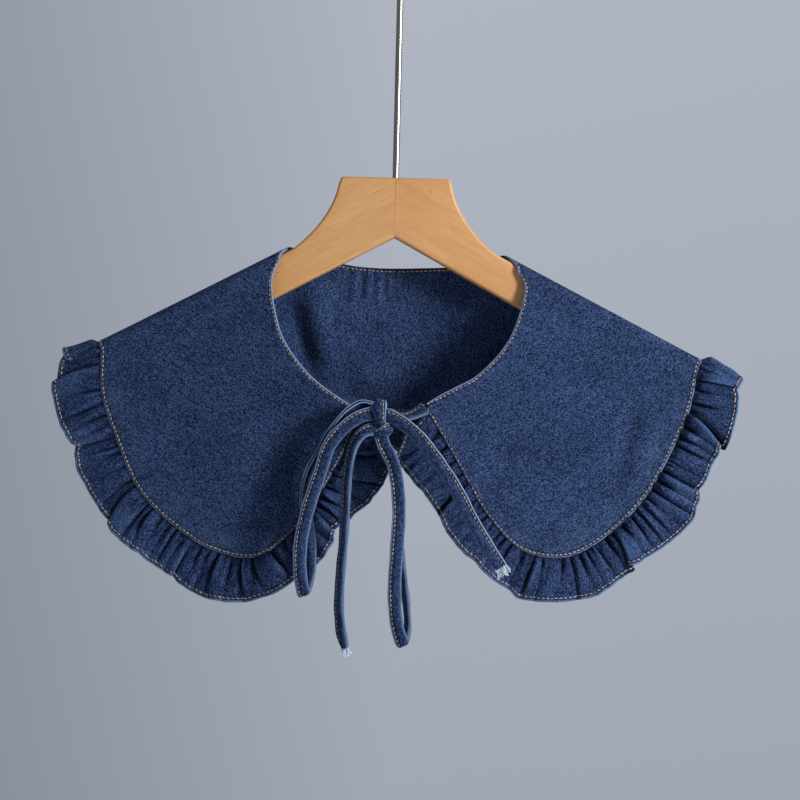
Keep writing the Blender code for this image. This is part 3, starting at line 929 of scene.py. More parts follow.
@dataclass(frozen=True)
class Hanger:
    """A flat hanger of two mitred arms with a straight shank and an open hook, sizes in millimetres."""

    wire: float = 4.0
    hook_inner_r: float = 20.0
    hook_foot_r: float = 12.0
    hook_tip_deg: float = 205.0
    hook_facet_deg: float = 4.0
    plate_top_z: float = -166.0
    plate_half_width: float = 34.5
    thickness: float = 12.0
    edge_r: float = 2.0
    slope: float = 0.54
    arm_top_z: float = -177.6
    arm_under_z: float = -203.0
    arm_end_x: float = 166.0
    end_steps: int = 16
    flare_start: Row = (35.0, -170.0)
    flare_pull: Row = (39.0, -192.0)
    flare_end_x: float = 62.0
    flare_steps: int = 18
    corner_r: float = 2.5
    mitre_gap: float = 0.12
    shank_hole_r: float = 2.3
    shank_depth: float = 26.0
    shank_end_z: float = -85.0
    shank_steps: int = 24
    wire_sides: int = 24
    hole_sides: int = 32
    sharp_deg: float = 35.0

    def outline(self) -> list[tuple[float, float]]:
        """The right half's outline as x and z, from the middle of the top round to the under side.

        Returns:
            The points, the first and the last on the mitre.
        """
        drop = self.corner_r * 0.3
        points = [
            (0.0, self.plate_top_z),
            (self.plate_half_width - self.corner_r, self.plate_top_z),
            (self.plate_half_width - drop, self.plate_top_z - drop),
        ]
        flare_end = (self.flare_end_x, self.arm_top_z - self.slope * self.flare_end_x)
        for t in np.linspace(0.0, 1.0, self.flare_steps):
            points.append(
                tuple(
                    (1 - t) ** 2 * a + 2 * t * (1 - t) * b + t**2 * c
                    for a, b, c in zip(self.flare_start, self.flare_pull, flare_end)
                )
            )
        tilt = math.atan(self.slope)
        half = (self.arm_top_z - self.arm_under_z) / 2 * math.cos(tilt)
        centre_x = self.arm_end_x - half
        centre_z = (self.arm_top_z + self.arm_under_z) / 2 - self.slope * centre_x
        for t in np.linspace(0.0, 1.0, self.end_steps):
            angle = math.pi / 2 - tilt - math.pi * t
            points.append((centre_x + half * math.cos(angle), centre_z + half * math.sin(angle)))
        points.append((0.0, self.arm_under_z))
        return points

    def board(self) -> Mesh:
        """Both arms as one board with rounded edges.

        Returns:
            Its mesh, welded, in metres in the object's frame.
        """
        right = self.outline()
        points = right + [(-x, z) for x, z in reversed(right) if x > 0.0]
        flat = bpy.data.curves.new("board", "CURVE")
        flat.dimensions = "2D"
        flat.fill_mode = "BOTH"
        flat.extrude = (self.thickness / 2 - self.edge_r) * MM
        flat.bevel_depth = self.edge_r * MM
        flat.bevel_resolution = 5
        flat.offset = -self.edge_r * MM
        spline = flat.splines.new("POLY")
        spline.points.add(len(points) - 1)
        for point, (x, z) in zip(spline.points, points):
            point.co = (x * MM, z * MM, 0.0, 1.0)
        spline.use_cyclic_u = True
        held = link_object("board", flat)
        mesh = evaluated_mesh(held)
        bpy.data.objects.remove(held)
        mesh.transform(Matrix.Rotation(math.pi / 2, 4, "X"))
        return mesh

    def sawn(self, name: str, side: Side, board: Mesh) -> Object:
        """One arm sawn off the board at the mitre, its cut face closed.

        Args:
            name: The arm's name.
            side: Which arm.
            board: The board of both.

        Returns:
            The arm as a linked object.
        """
        shape = bmesh.new()
        shape.from_mesh(board)
        bmesh.ops.remove_doubles(shape, verts=shape.verts, dist=0.00001)
        cut = bmesh.ops.bisect_plane(
            shape,
            geom=shape.verts[:] + shape.edges[:] + shape.faces[:],
            plane_co=(side.value * self.mitre_gap / 2 * MM, 0.0, 0.0),
            plane_no=(-side.value, 0.0, 0.0),
            clear_outer=True,
        )
        open_edges = [edge for edge in cut["geom_cut"] if isinstance(edge, bmesh.types.BMEdge)]
        bmesh.ops.contextual_create(shape, geom=open_edges)
        bmesh.ops.recalc_face_normals(shape, faces=shape.faces)
        mesh = bpy.data.meshes.new(name)
        shape.to_mesh(mesh)
        shape.free()
        return link_object(name, mesh)

    def arm(self, side: Side, board: Mesh) -> Object:
        """One arm, sawn off and bored for the shank.

        Args:
            side: Which arm.
            board: The board of both.

        Returns:
            The arm as a linked object.
        """
        name = f"hanger_arm_{side.name.lower()}_wood"
        made = self.sawn(name, side, board)
        bpy.ops.mesh.primitive_cylinder_add(
            vertices=self.hole_sides,
            radius=self.shank_hole_r * MM,
            depth=2 * self.shank_depth * MM,
            location=(0.0, 0.0, self.plate_top_z * MM),
        )
        hole = bpy.context.object
        cut = made.modifiers.new("shank_hole", "BOOLEAN")
        cut.object = hole
        cut.operation = "DIFFERENCE"
        bored = evaluated_mesh(made)
        made.modifiers.clear()
        made.data = bored
        bored.name = name
        bpy.data.objects.remove(hole)
        bored.shade_smooth()
        bored.set_sharp_from_angle(angle=math.radians(self.sharp_deg))
        return made

    def hook_line(self) -> Array:
        """The middle of the wire: up the shank, through the foot bend and round the hook.

        Returns:
            Its points in millimetres.
        """
        ring_r = self.hook_inner_r + self.wire / 2
        reach = math.sqrt((ring_r + self.hook_foot_r) ** 2 - self.hook_foot_r**2)
        join_deg = math.degrees(math.atan2(-reach, self.hook_foot_r))
        shank_foot_z = self.plate_top_z - self.shank_depth + 0.3
        line = [(0.0, z) for z in np.linspace(shank_foot_z, self.shank_end_z, self.shank_steps)]
        foot_steps = round(-join_deg / self.hook_facet_deg)
        for turn in np.linspace(0.0, 1.0, foot_steps):
            angle = math.radians(180 + join_deg * turn)
            line.append(
                (
                    self.hook_foot_r * (1 + math.cos(angle)),
                    -self.hook_inner_r - reach + self.hook_foot_r * math.sin(angle),
                )
            )
        ring_steps = round((self.hook_tip_deg - join_deg) / self.hook_facet_deg)
        for turn in np.linspace(0.0, 1.0, ring_steps)[1:]:
            angle = math.radians(join_deg + (self.hook_tip_deg - join_deg) * turn)
            line.append((ring_r * math.cos(angle), -self.hook_inner_r + ring_r * math.sin(angle)))
        return np.array([(x, 0.0, z) for x, z in line])

    def hook(self) -> Object:
        """The wire of the hook and shank, with a rounded tip.

        Returns:
            It as a linked object.
        """
        line = self.hook_line()
        radius = np.full(len(line), self.wire / 2)
        tip = unit(line[-1] - line[-2])
        rounding = np.linspace(0.15, 1.0, 6) * math.pi / 2
        line = np.concatenate([line, line[-1] + tip * (self.wire / 2 * np.sin(rounding))[:, None]])
        radius = np.concatenate([radius, self.wire / 2 * np.cos(rounding)])
        frames = line_frames(line, Vector((0.0, -1.0, 0.0)))
        around = np.linspace(0.0, math.tau, self.wire_sides, endpoint=False)
        section = np.stack([np.cos(around), np.sin(around)], axis=-1)
        sections = section[None] * np.maximum(radius, 0.02)[:, None, None]
        return tube("hanger_hook_wire", line, frames, sections)

    def build(self, steel: Material) -> None:
        """Builds and dresses the arms and the hook.

        Args:
            steel: The wire's finish.
        """
        board = self.board()
        for side in Side:
            wood = WoodFinish(f"beech_{side.name.lower()}", side, self.slope).build()
            dress(self.arm(side, board), wood, f"hanger_arm_{side.name.lower()}")
        dress(self.hook(), steel, "hanger_hook")


# ---- tubes


def line_frames(line: Array, facing: Vector, twist: Optional[Array] = None) -> Array:
    """Sideways and facing directions carried along a line without turning, then twisted.

    Args:
        line: Points along the line.
        facing: Where the first section faces.
        twist: Degrees turned about the line at each point.

    Returns:
        For each point the direction to the section's left and the one that it faces.
    """
    points = [Vector(point) for point in line]
    along = (points[1] - points[0]).normalized()
    facing = (facing - along * facing.dot(along)).normalized()
    frames = []
    for i in range(len(points)):
        after = points[min(i + 1, len(points) - 1)]
        before = points[max(i - 1, 0)]
        heading = (after - before).normalized()
        facing = along.rotation_difference(heading) @ facing
        along = heading
        angle = 0.0 if twist is None else math.radians(float(twist[i]))
        turned = Quaternion(along, angle) @ facing
        frames.append((along.cross(turned).normalized(), turned))
    return np.array([[list(vector) for vector in frame] for frame in frames])


def tube(
    name: str,
    line: Array,
    frames: Array,
    sections: Array,
    worn: Optional[Array] = None,
    closed: bool = False,
) -> Object:
    """A closed tube of sections along a line.

    Args:
        name: The object's name.
        line: The middle of each section.
        frames: Its sideways and facing directions.
        sections: The points of each section, sideways and up.
        worn: How pale or dark each point of a section is, by wear and by painted shade.
        closed: Whether the last section joins the first.

    Returns:
        The linked object.
    """
    count, around = sections.shape[:2]
    points = (
        line[:, None] + sections[..., :1] * frames[:, None, 0] + sections[..., 1:] * frames[:, None, 1]
    ).reshape(-1, 3)
    numbers = np.arange(count * around).reshape(count, around)
    after = np.roll(numbers, -1, axis=1)
    if closed:
        pairs = (numbers, after, np.roll(after, -1, axis=0), np.roll(numbers, -1, axis=0))
    else:
        pairs = (numbers[:-1], after[:-1], after[1:], numbers[1:])
    faces = list(map(tuple, np.stack(pairs, axis=-1).reshape(-1, 4).tolist()))
    if not closed:
        faces += [tuple(numbers[0][::-1].tolist()), tuple(numbers[-1].tolist())]
    girth = path_lengths(np.concatenate([sections[count // 2], sections[count // 2][:1]]))
    lengths = path_lengths(line)
    uv = np.stack(np.broadcast_arrays(girth[None, :-1], lengths[:, None]), axis=-1).reshape(-1, 2)
    wear_and_light = None if worn is None else np.broadcast_to(worn, (count, around)).ravel()
    made = link_mesh(name, points, faces, uv * MM, wear_and_light)
    shape = bmesh.new()
    shape.from_mesh(made.data)
    bmesh.ops.recalc_face_normals(shape, faces=shape.faces)
    shape.to_mesh(made.data)
    shape.free()
    return made


# ---- collar body


@dataclass(frozen=True)
class CollarBody:
    """Two layers of denim turned right side out, topstitched along both edges, in millimetres."""

    hanger: Hanger
    half: float = 0.95
    fold_half_width: float = 7.5
    fold_r: float = 4.5
    fold_steps: int = 7
    front_steps: int = 12
    back_steps: int = 18
    middle_columns: int = 34
    ridge_clearance: float = 0.5
    cad_wall: float = 2.0
    bulge_half_x: float = 190.0
    bulge_drop: float = 65.0
    middle_bulge: float = 20.0
    shoulder_bulge: float = 5.0
    stitch_in: float = 1.95
    stitch_pitch: float = 2.8
    seam_pucker: float = 8.3
    neck_pucker: float = 11.0
    pucker_depth: float = 0.34
    edge_steps: Row = (0.0, 0.04, 0.15, 0.32, 0.55, 0.8, 1.1, 1.4, 1.7, 1.95, 2.2, 2.45, 2.8, 3.3, 4.2)
    end_steps: Row = (0.04, 0.15, 0.32, 0.55, 0.8, 1.1)
    # Soft troughs worked into the cloth: x and z where each starts and ends, its half width, its
    # depth, and 1 where it lies in the back, -1 where it lies in the fronts.
    troughs: tuple[Row, ...] = (
        (-51, -234, -40, -282, 7, 4.2, 1), (-21, -286, 12, -306, 9, 2.6, 1),
        (-66, -240, -50, -290, 6.5, -4, 1), (-38, -296, -4, -316, 8, -2.4, 1),
        (-24.5, -222, -25, -243, 1.8, 2, 1), (-15.5, -222, -16, -240, 1.7, 2.1, 1),
        (-9, -222, -9.5, -240, 1.6, 1.7, 1), (-2.5, -222, -2.5, -237, 1.6, 1.2, 1),
        (50, -240, 46, -300, 9, 1.8, 1), (-150, -330, -120, -352, 10, 1, -1),
        (-96, -388, -80, -362, 7, 0.9, -1), (-60, -340, -74, -300, 12, 1, -1),
        (148, -356, 160, -312, 5, -2.2, -1), (138, -346, 152, -304, 5.5, 2.2, -1),
        (95, -385, 120, -352, 8, 0.9, -1), (60, -345, 82, -315, 11, 0.9, -1),
        (100, -262, 150, -300, 8, 0.7, -1),
    )

    def shares(self, width: float) -> Array:
        """Where the columns lie across a row, close together along both edges.

        Args:
            width: The row's width.

        Returns:
            Shares of the width, from 0 at the neck to 1 at the seam.
        """
        edge = np.array(self.edge_steps) * min(1.0, width / (2.1 * self.edge_steps[-1]))
        middle = np.linspace(edge[-1], width - edge[-1], self.middle_columns + 2)[1:-1]
        return np.concatenate([edge, middle, width - edge[::-1]]) / width

    def ridge_z(self, x: Array) -> Array:
        """Height of the cloth's middle along the top of an arm."""
        over_wood = (self.ridge_clearance + self.cad_wall / 2) * math.sqrt(1 + self.hanger.slope**2)
        return self.hanger.arm_top_z - self.hanger.slope * np.abs(x) + over_wood

    def panel_row(self, row: Row, side: float) -> Array:
        """Points of a panel from the neck edge to the seam.

        Args:
            row: Neck edge x and z, seam x and z.
            side: -1 on a front and 1 on the back.

        Returns:
            The points.
        """
        neck_x, neck_z, seam_x, seam_z = row
        shares = self.shares(math.hypot(seam_x - neck_x, seam_z - neck_z))
        x = neck_x + (seam_x - neck_x) * shares
        z = neck_z + (seam_z - neck_z) * shares
        middle = np.cos(math.pi / 2 * np.minimum(1.0, np.abs(x) / self.bulge_half_x)) ** 2
        full = self.shoulder_bulge + (self.middle_bulge - self.shoulder_bulge) * middle
        below = np.maximum(0.0, self.ridge_z(x) - z - self.fold_r)
        off = self.fold_half_width + full * (1 - np.exp(-below / self.bulge_drop))
        return np.stack([x, side * off, z], axis=-1)

    def fold_rows(self, fold: Row) -> Array:
        """Rows of a shoulder fold from front to back: a flat top and two rounded corners.

        Args:
            fold: Neck x in front of the arm, above it and behind it, seam x, and the seam's lift.

        Returns:
            The rows.
        """
        front_x, top_x, back_x, seam_x, lift = fold
        flat = self.fold_half_width - self.fold_r
        turns = np.linspace(0.0, math.pi / 2, self.fold_steps)
        profile = [
            (-flat - self.fold_r * math.cos(turn), self.fold_r * (math.sin(turn) - 1)) for turn in turns
        ]
        profile += [(0.0, 0.0)] + [(-y, drop) for y, drop in reversed(profile)]
        across = unit(np.array([math.copysign(self.hanger.slope, front_x), 0.0, 1.0]))
        rows = []
        for y, drop in profile:
            share = y / self.fold_half_width
            neck_x = top_x + ((front_x if share < 0 else back_x) - top_x) * share**2
            width = abs(seam_x - neck_x) * math.sqrt(1 + self.hanger.slope**2)
            shares = self.shares(width)
            x = neck_x + (seam_x - neck_x) * shares
            line = np.stack([x, np.full_like(x, y), self.ridge_z(x)], axis=-1)
            rows.append(line + across * (drop + lift * shares)[:, None])
        return np.array(rows)

    def middle(self) -> Array:
        """The middle of the cloth from the left front corner round the neck to the right one.

        Returns:
            Its points, rows along the collar by columns across it.
        """
        left = [self.panel_row(row, -1) for row in LEFT_FRONT]
        right = [self.panel_row(row, -1) for row in reversed(RIGHT_FRONT)]
        back = [self.panel_row(row, 1) for row in BACK]
        left_fold = self.fold_rows(LEFT_FOLD)
        right_fold = self.fold_rows(RIGHT_FOLD)[::-1]
        stretches = (
            smooth_points(np.array([*left, left_fold[0]]), self.front_steps)[:-1],
            left_fold[:-1],
            smooth_points(np.array([left_fold[-1], *back, right_fold[0]]), self.back_steps)[:-1],
            right_fold[:-1],
            smooth_points(np.array([right_fold[-1], *right]), self.front_steps),
        )
        rows = np.concatenate(stretches)
        shares = np.array(self.end_steps) / np.linalg.norm(rows[1, -1] - rows[0, -1])
        first = rows[0] + (rows[1] - rows[0]) * shares[:, None, None]
        last = rows[-1] + (rows[-2] - rows[-1]) * shares[::-1, None, None]
        return np.concatenate([rows[:1], first, rows[1:-1], last, rows[-1:]])

    def fabric_place(self, points: Array) -> Array:
        """Where each point lies on the flat cut, with the warp upright at the centre back.

        Args:
            points: Points of the cloth's middle.

        Returns:
            Places in millimetres; the fronts are unfolded about the tops of the arms.
        """
        x, y, z = (points[..., i] for i in range(3))
        side = np.where(x < 0, -1.0, 1.0)
        tilt = math.atan(self.hanger.slope)
        z = z - self.hanger.arm_top_z
        along = side * x * math.cos(tilt) - z * math.sin(tilt)
        below = -(side * x * math.sin(tilt) + z * math.cos(tilt))
        over = np.clip(y / self.fold_half_width, -1.0, 1.0)
        up = self.fold_half_width * (1 - over) - over * below
        flat_x = side * (along * math.cos(tilt) + up * math.sin(tilt))
        flat_z = -along * math.sin(tilt) + up * math.cos(tilt)
        return np.stack([flat_x, flat_z], axis=-1)

    def edge_distances(self, points: Array) -> tuple[Array, Array, Array]:
        """How far each point lies from the edges, along the cloth.

        Args:
            points: Points of the cloth's middle.

        Returns:
            Distances from the neck edge, from the seam edge and from the nearer end.
        """
        steps = np.linalg.norm(np.diff(points, axis=1), axis=2)
        across = np.concatenate([np.zeros((len(points), 1)), np.cumsum(steps, axis=1)], axis=1)
        along = path_lengths(points[:, points.shape[1] // 2])
        end = np.minimum(along, along[-1] - along)
        return across, across[:, -1:] - across, np.broadcast_to(end[:, None], across.shape)

    def thickness(self, neck: Array, seam: Array, end: Array) -> Array:
        """Half the thickness: round at the edges, pinched under the stitches and full between.

        Args:
            neck: How far each point lies from the neck edge.
            seam: How far it lies from the seam edge.
            end: How far it lies from the nearer end.

        Returns:
            Half the thickness at each point, nothing along the border.
        """
        edge = np.minimum(neck, seam)
        rounded, ended = quarter_round(edge, 1.0), quarter_round(end, 1.0)
        pinch = 0.3 * bell(edge - self.stitch_in, 0.55)
        return bordered(self.half * rounded * ended * (1.08 - pinch - 0.12 * smoothstep(2.6, 6.0, edge)))

    def work_troughs(self, points: Array) -> Array:
        """Presses the soft troughs and the small puckers of the seams into the cloth.

        Args:
            points: Points of the cloth's middle.

        Returns:
            The moved points.
        """
        off = grid_normals(points)
        depth = np.zeros(points.shape[:2])
        x, y, z = (points[..., i] for i in range(3))
        for x0, z0, x1, z1, reach, deep, side in self.troughs:
            length = math.hypot(x1 - x0, z1 - z0)
            along = ((x - x0) * (x1 - x0) + (z - z0) * (z1 - z0)) / length
            aside = ((x - x0) * (z1 - z0) - (z - z0) * (x1 - x0)) / length
            shape = bell(aside, reach) * smoothstep(-0.25, 0.3, along / length)
            shape *= 1 - smoothstep(0.7, 1.25, along / length)
            depth += deep * shape * smoothstep(4.0, 9.0, y * side)
        neck, seam, _ = self.edge_distances(points)
        for edge, column, pitch in ((seam, -1, self.seam_pucker), (neck, 0, self.neck_pucker)):
            run = path_lengths(points[:, column])[:, None]
            pucker = np.sin(run * math.tau / pitch + 2.0 * np.sin(run / 23.0))
            pucker *= 0.6 + 0.4 * np.sin(run / 37.0)
            depth += self.pucker_depth * pucker * smoothstep(0.8, 2.5, edge) * np.exp(-edge / 7.0)
        return points - off * depth[..., None]

    def paint_wear_and_light(self, neck: Array, seam: Array, end: Array, y: Array, run: Array) -> Array:
        """How pale or dark the cloth is: faded at the edges, painted highlight on the fronts' rolled edges,
        painted shade along the stitches and painted shadow on the back's neck edge.

        Args:
            neck: How far each point lies from the neck edge.
            seam: How far it lies from the seam edge.
            end: How far it lies from the nearer end.
            y: How far back it lies.
            run: How far along the seam it lies.

        Returns:
            From 0, dark, to 1, pale, at each point.
        """
        edge = np.minimum(neck, seam)
        front = 1 - smoothstep(-8.0, 4.0, y)
        # The fronts' rolled neck edge is paler, by wear and painted highlight; the back's is darker, a
        # painted shadow of the hanger.
        rolled = (0.52 * front - 0.16) * bell(np.minimum(neck, end) - 0.4, 0.85)
        patchy = 0.5 + 0.5 * np.sin(run / 4.3 + 2.0 * np.sin(run / 15.0) + seam / 6.0)
        halo = (0.002 + 0.018 * patchy) * bell(seam - 8.5, 6.0)
        pale = rolled + 0.26 * bell(seam - 0.3, 0.7) + halo
        # The dip along each line of stitches is painted shade in the stitch groove.
        return np.clip(0.5 + pale - 0.42 * bell(edge - self.stitch_in, 0.7), 0, 1)

    def build(self, denim: Material, sewing: Sewing) -> Array:
        """Builds and dresses the body and its topstitching.

        Args:
            denim: The cloth's finish.
            sewing: The thread.

        Returns:
            The middle of the cloth, for the ruffle to be sewn to.
        """
        plain = self.middle()
        place = self.fabric_place(plain)
        points = self.work_troughs(plain)
        neck, seam, end = self.edge_distances(points)
        half = self.thickness(neck, seam, end)
        run = path_lengths(points[:, -1])[:, None]
        worn = self.paint_wear_and_light(neck, seam, end, points[..., 1], run)
        body = cloth_shell("collar_body_cloth", points, half, place, worn)
        dress(body, denim, "collar_body")

        off = grid_normals(points)
        column = self.edge_steps.index(self.stitch_in)
        rows = slice(len(self.end_steps) + 1, -len(self.end_steps) - 1)
        lines = [
            StitchLine(points[rows, i], off[rows, i], half[rows, i] + STITCH_PROUD)
            for i in (column, -1 - column)
        ]
        stitches = sewing.sew("body_topstitching", lines, self.stitch_pitch)
        low, high = place.reshape(-1, 2).min(axis=0), place.reshape(-1, 2).max(axis=0)
        width, length = (high - low) * MM
        area = sum(face.area for face in body.data.polygons) / 2
        log.info("body cut %.3f x %.3f m, %.4f m2", width, length, area)
        return points


# ---- ruffle


@dataclass(frozen=True)
class Seam:
    """The body's outer edge: its points, and the directions along it and off the cloth."""

    points: Array
    along: Array
    off: Array
    lengths: Array
    shoulders: Row
    hem_gap: float = 1.5
    lean: float = 1.5

    @classmethod
    def of(cls, middle: Array) -> "Seam":
        """Reads the seam off the body.

        Args:
            middle: The middle of the body's cloth.

        Returns:
            The seam.
        """
        edge = middle[:, -1]
        along = unit(np.gradient(edge, axis=0))
        lengths = path_lengths(edge)
        inner = middle[:, -16]
        steady = unit(resample(edge - inner, lengths, np.clip(lengths, 14.0, lengths[-1] - 14.0)))
        over = np.flatnonzero(np.diff(np.sign(edge[:, 1])))
        fold = lengths[over[0]]
        level = steady - along * np.sum(along * steady, axis=-1, keepdims=True)
        about_fold = resample(level, lengths, fold + np.array([-16.0, 16.0])).sum(axis=0)
        beside = unit(unit(about_fold) - (0.0, 0.0, 0.3))
        near = 0.85 * bell(lengths - fold, 12.0)[:, None]
        off = unit(np.cross(along, unit(steady * (1 - near) + beside * near)))
        return cls(edge, along, off, lengths, (lengths[over[0]], lengths[-1] - lengths[over[-1]]))

    @property
    def whole(self) -> float:
        """Its length."""
        return float(self.lengths[-1])

    def creases(self) -> Array:
        """The creases of the whole ruffle, those of the back like those of the fronts, mirrored.

        Returns:
            Rows of seam place, hem place, reach, depth, lap and the widths before and after.
        """
        made = []
        for rows, shoulder, turn in (
            (LEFT_CREASES, self.shoulders[0], 1.0), (RIGHT_CREASES, self.shoulders[1], -1.0)
        ):
            start = 0.0 if turn > 0 else self.whole
            for seam, hem, reach, depth, lap, *widths in rows:
                widths = (widths * 2)[:2]
                ahead = start + turn * seam, start + turn * hem, reach, depth, turn * lap
                made.append((*ahead, *widths[:: int(turn)]))
                behind = 2 * shoulder - seam
                if shoulder + 1.5 < behind < self.whole / 2 - 3.0:
                    lean = seam - hem + self.lean * math.sin(seam)
                    places = start + turn * behind, start + turn * (behind + lean)
                    made.append((*places, reach, depth, -turn * lap, *widths[:: -int(turn)]))
        rows = np.array(sorted(made))
        steps = self.hem_gap * np.arange(len(rows))
        rows[:, 1] = np.maximum.accumulate(rows[:, 1] - steps) + steps
        return rows


@dataclass(frozen=True)
class FlatStrip:
    """A gathered strip before it is worked, as a grid of rows from the seam to the hem.

    A column has the gap of its two creases, its share of that gap and the strip's width. A point has its
    distance from the seam, also as a part of the width, its bend to the hem and its place along the seam.
    """

    creases: Array
    gap: Array
    share: Array
    width: Array
    far: Array
    part: Array
    bent: Array
    run: Array


@dataclass
class Relief:
    """How a strip is worked at each point: its height, how far it is pushed along the seam, and its tone of
    painted shade and painted highlight.
    """

    height: Array
    push: Array
    tone: Array


@dataclass(frozen=True)
class RuffleStrip:
    """One gathered strip between two lengths along the seam, in millimetres."""

    name: str
    start: float
    end: float
    hemmed_start: bool = False
    hemmed_end: bool = False
    half: float = 0.42
    hem_half: float = 0.78
    hem_turn: Row = (2.9, 3.8)
    hem_stitch: float = 2.5
    hem_pitch: float = 3.0
    hem_skip: int = 6
    tuck: float = 0.5
    flute_steps: int = 14
    width_steps: int = 26
    width_ease: float = 1.15
    flap_lap: float = 1.8
    corner_r: float = 4.5
    end_gap: float = 5.0
    sag_length: float = 45.0
    sag_deg: float = 36.0
    end_width: float = 25.0
    puff: float = 3.2
    crest: float = 1.15
    # how dark the painted shade in a crease's cleft is
    crease_painted_shade: float = 0.34
    gather_pitch: float = 4.6
    gather_height: float = 2.5
    # how dark the painted shade between the gathers is
    gather_painted_shade: float = 0.75
    back_lean: float = 0.16
    # how dark the painted shadow of the body's edge on the ruffle is
    seam_shade: float = 0.5
    edge_steps: Row = (0.0, 0.04, 0.15, 0.32, 0.55, 0.8, 1.15, 1.6, 2.05, 2.5, 2.9, 3.3, 3.8, 4.6)

    def own_creases(self, every: Array) -> Array:
        """The creases of this strip, its two ends counted as flat ones.

        Args:
            every: The creases of the whole ruffle.

        Returns:
            Rows like theirs.
        """
        ends = (self.start, self.end)
        mine = every[(every[:, 0] > self.start + self.end_gap) & (every[:, 0] < self.end - self.end_gap)]
        widths = np.interp(ends, every[:, 0], every[:, 5])
        widths[[self.hemmed_start, self.hemmed_end]] = self.end_width
        first, last = ((at, at, 1.0, 0.0, 0.0, width, width) for at, width in zip(ends, widths))
        return np.concatenate([[first], mine, [last]])

    def columns(self, creases: Array) -> tuple[Array, Array]:
        """The columns of the grid, close together beside each crease and at the strip's ends.

        Args:
            creases: The strip's creases, with its own two ends among them.

        Returns:
            For each column the number of the crease before it, and its share of the way to the next.
        """
        numbers, shares = [], []
        steps = 0.5 - 0.5 * np.cos(np.linspace(0.0, math.pi, self.flute_steps + 1)[:-1])
        for k in range(len(creases) - 1):
            edge = np.array(self.edge_steps) / (creases[k + 1, 0] - creases[k, 0])
            mine = steps
            if k == 0:
                mine = np.concatenate([edge, np.linspace(edge[-1], 1.0, self.flute_steps)[1:-1]])
            if k == len(creases) - 2:
                rest = np.linspace(0.0, 1 - edge[-1], self.flute_steps)[:-1]
                mine = np.concatenate([rest, 1 - edge[::-1]])
            numbers += [k] * len(mine)
            shares += list(mine)
        return np.array(numbers), np.array(shares)

    def across(self, width: Array) -> Array:
        """How far from the seam the rows lie, for columns of the given widths.

        Args:
            width: The strip's width at each column.

        Returns:
            Distances, rows by columns, from the tucked edge to the hem.
        """
        first = 0.1
        rows = [np.full_like(width, distance) for distance in (-self.tuck, -0.4, -0.2, first)]
        inner = width - self.edge_steps[-1]
        for share in np.linspace(0.0, 1.0, self.width_steps)[1:]:
            rows.append(first + (inner - first) * share**self.width_ease)
        return np.array(rows + [width - distance for distance in self.edge_steps[-2::-1]])

    def lay_flat(self, every: Array) -> FlatStrip:
        """Lays the strip out along the seam.

        Args:
            every: The creases of the whole ruffle.

        Returns:
            Its grid.
        """
        creases = self.own_creases(every)
        number, share = self.columns(creases)
        before, after = creases[number], creases[number + 1]
        seam_place, hem_place = (before[:, i] * (1 - share) + after[:, i] * share for i in (0, 1))
        soft = 0.5 - 0.5 * np.cos(share * math.pi)
        width = before[:, 6] * (1 - soft) + after[:, 5] * soft
        for _, hem, _, _, lap, _, _ in creases[np.abs(creases[:, 4]) > self.flap_lap]:
            within = (hem - hem_place) * math.copysign(1.0, lap)
            cut = 0.5 * (1 - smoothstep(0.0, self.corner_r, within))
            width -= self.corner_r * np.where(within < 0, 0.0, cut)
        far = self.across(width)
        part = np.clip(far / width, 0.0, 1.0)
        bent = part**1.5
        run = seam_place + (hem_place - seam_place) * bent
        return FlatStrip(creases, after[:, 0] - before[:, 0], share, width, far, part, bent, run)

    def puff_out(self, flat: FlatStrip) -> Relief:
        """Lifts the cloth between its creases and lays it close beside the seam.

        Args:
            flat: The strip.

        Returns:
            Its relief so far.
        """
        part = flat.part
        puff = np.sin(np.pi * flat.share) ** 0.7 * np.minimum(0.3 * flat.gap, self.puff)
        height = 0.6 * smoothstep(0.1, 0.35, part) + puff * smoothstep(0.0, 0.15, part) * (1 - 0.5 * part)
        height -= 0.7 * smoothstep(0.3, 3.0, flat.far) * np.exp(-np.maximum(flat.far, 0.0) / 9.0)
        return Relief(height, np.zeros_like(flat.run), np.zeros_like(flat.run))

    def crease(self, flat: FlatStrip, work: Relief) -> None:
        """Works every crease in: a cleft, the crest of the cloth beside it and, in a deep lap, a flap, and
        paints shade in the cleft and highlights on the crest and the flap.

        Args:
            flat: The strip.
            work: Its relief, which is added to.
        """
        part = flat.part
        gaps = np.diff(flat.creases[:, 0])
        for gap, (at, hem, reach, depth, lap, _, _), next_gap in zip(gaps, flat.creases[1:-1], gaps[1:]):
            line = at + (hem - at) * flat.bent
            near = min(gap, next_gap) * (1 + 0.2 * part)
            side = -math.copysign(1.0, lap) if lap else (1.0 if math.sin(3.7 * at) > 0 else -1.0)
            aside = (flat.run - line) * side
            if reach < 1.0:
                swell = 1 - smoothstep(0.35, 1.0, part / (reach * 1.15))
            else:
                swell = 1 - 0.35 * part
            here = depth * swell * (0.35 + 0.65 * smoothstep(0.0, 0.14, part))
            span = np.clip(0.34 * near, 1.2, 3.2)
            flap = float(abs(lap) > self.flap_lap)
            cleft = np.exp(-np.abs(aside) / np.where(aside > 0, 0.3, 0.45) / span)
            crest = smoothstep(0.0, 1.0, aside / 1.6)
            crest = crest * np.exp(-np.maximum(aside - 1.2, 0.0) / (span + 3.0 * flap))
            work.height += here * (self.crest * crest - cleft)
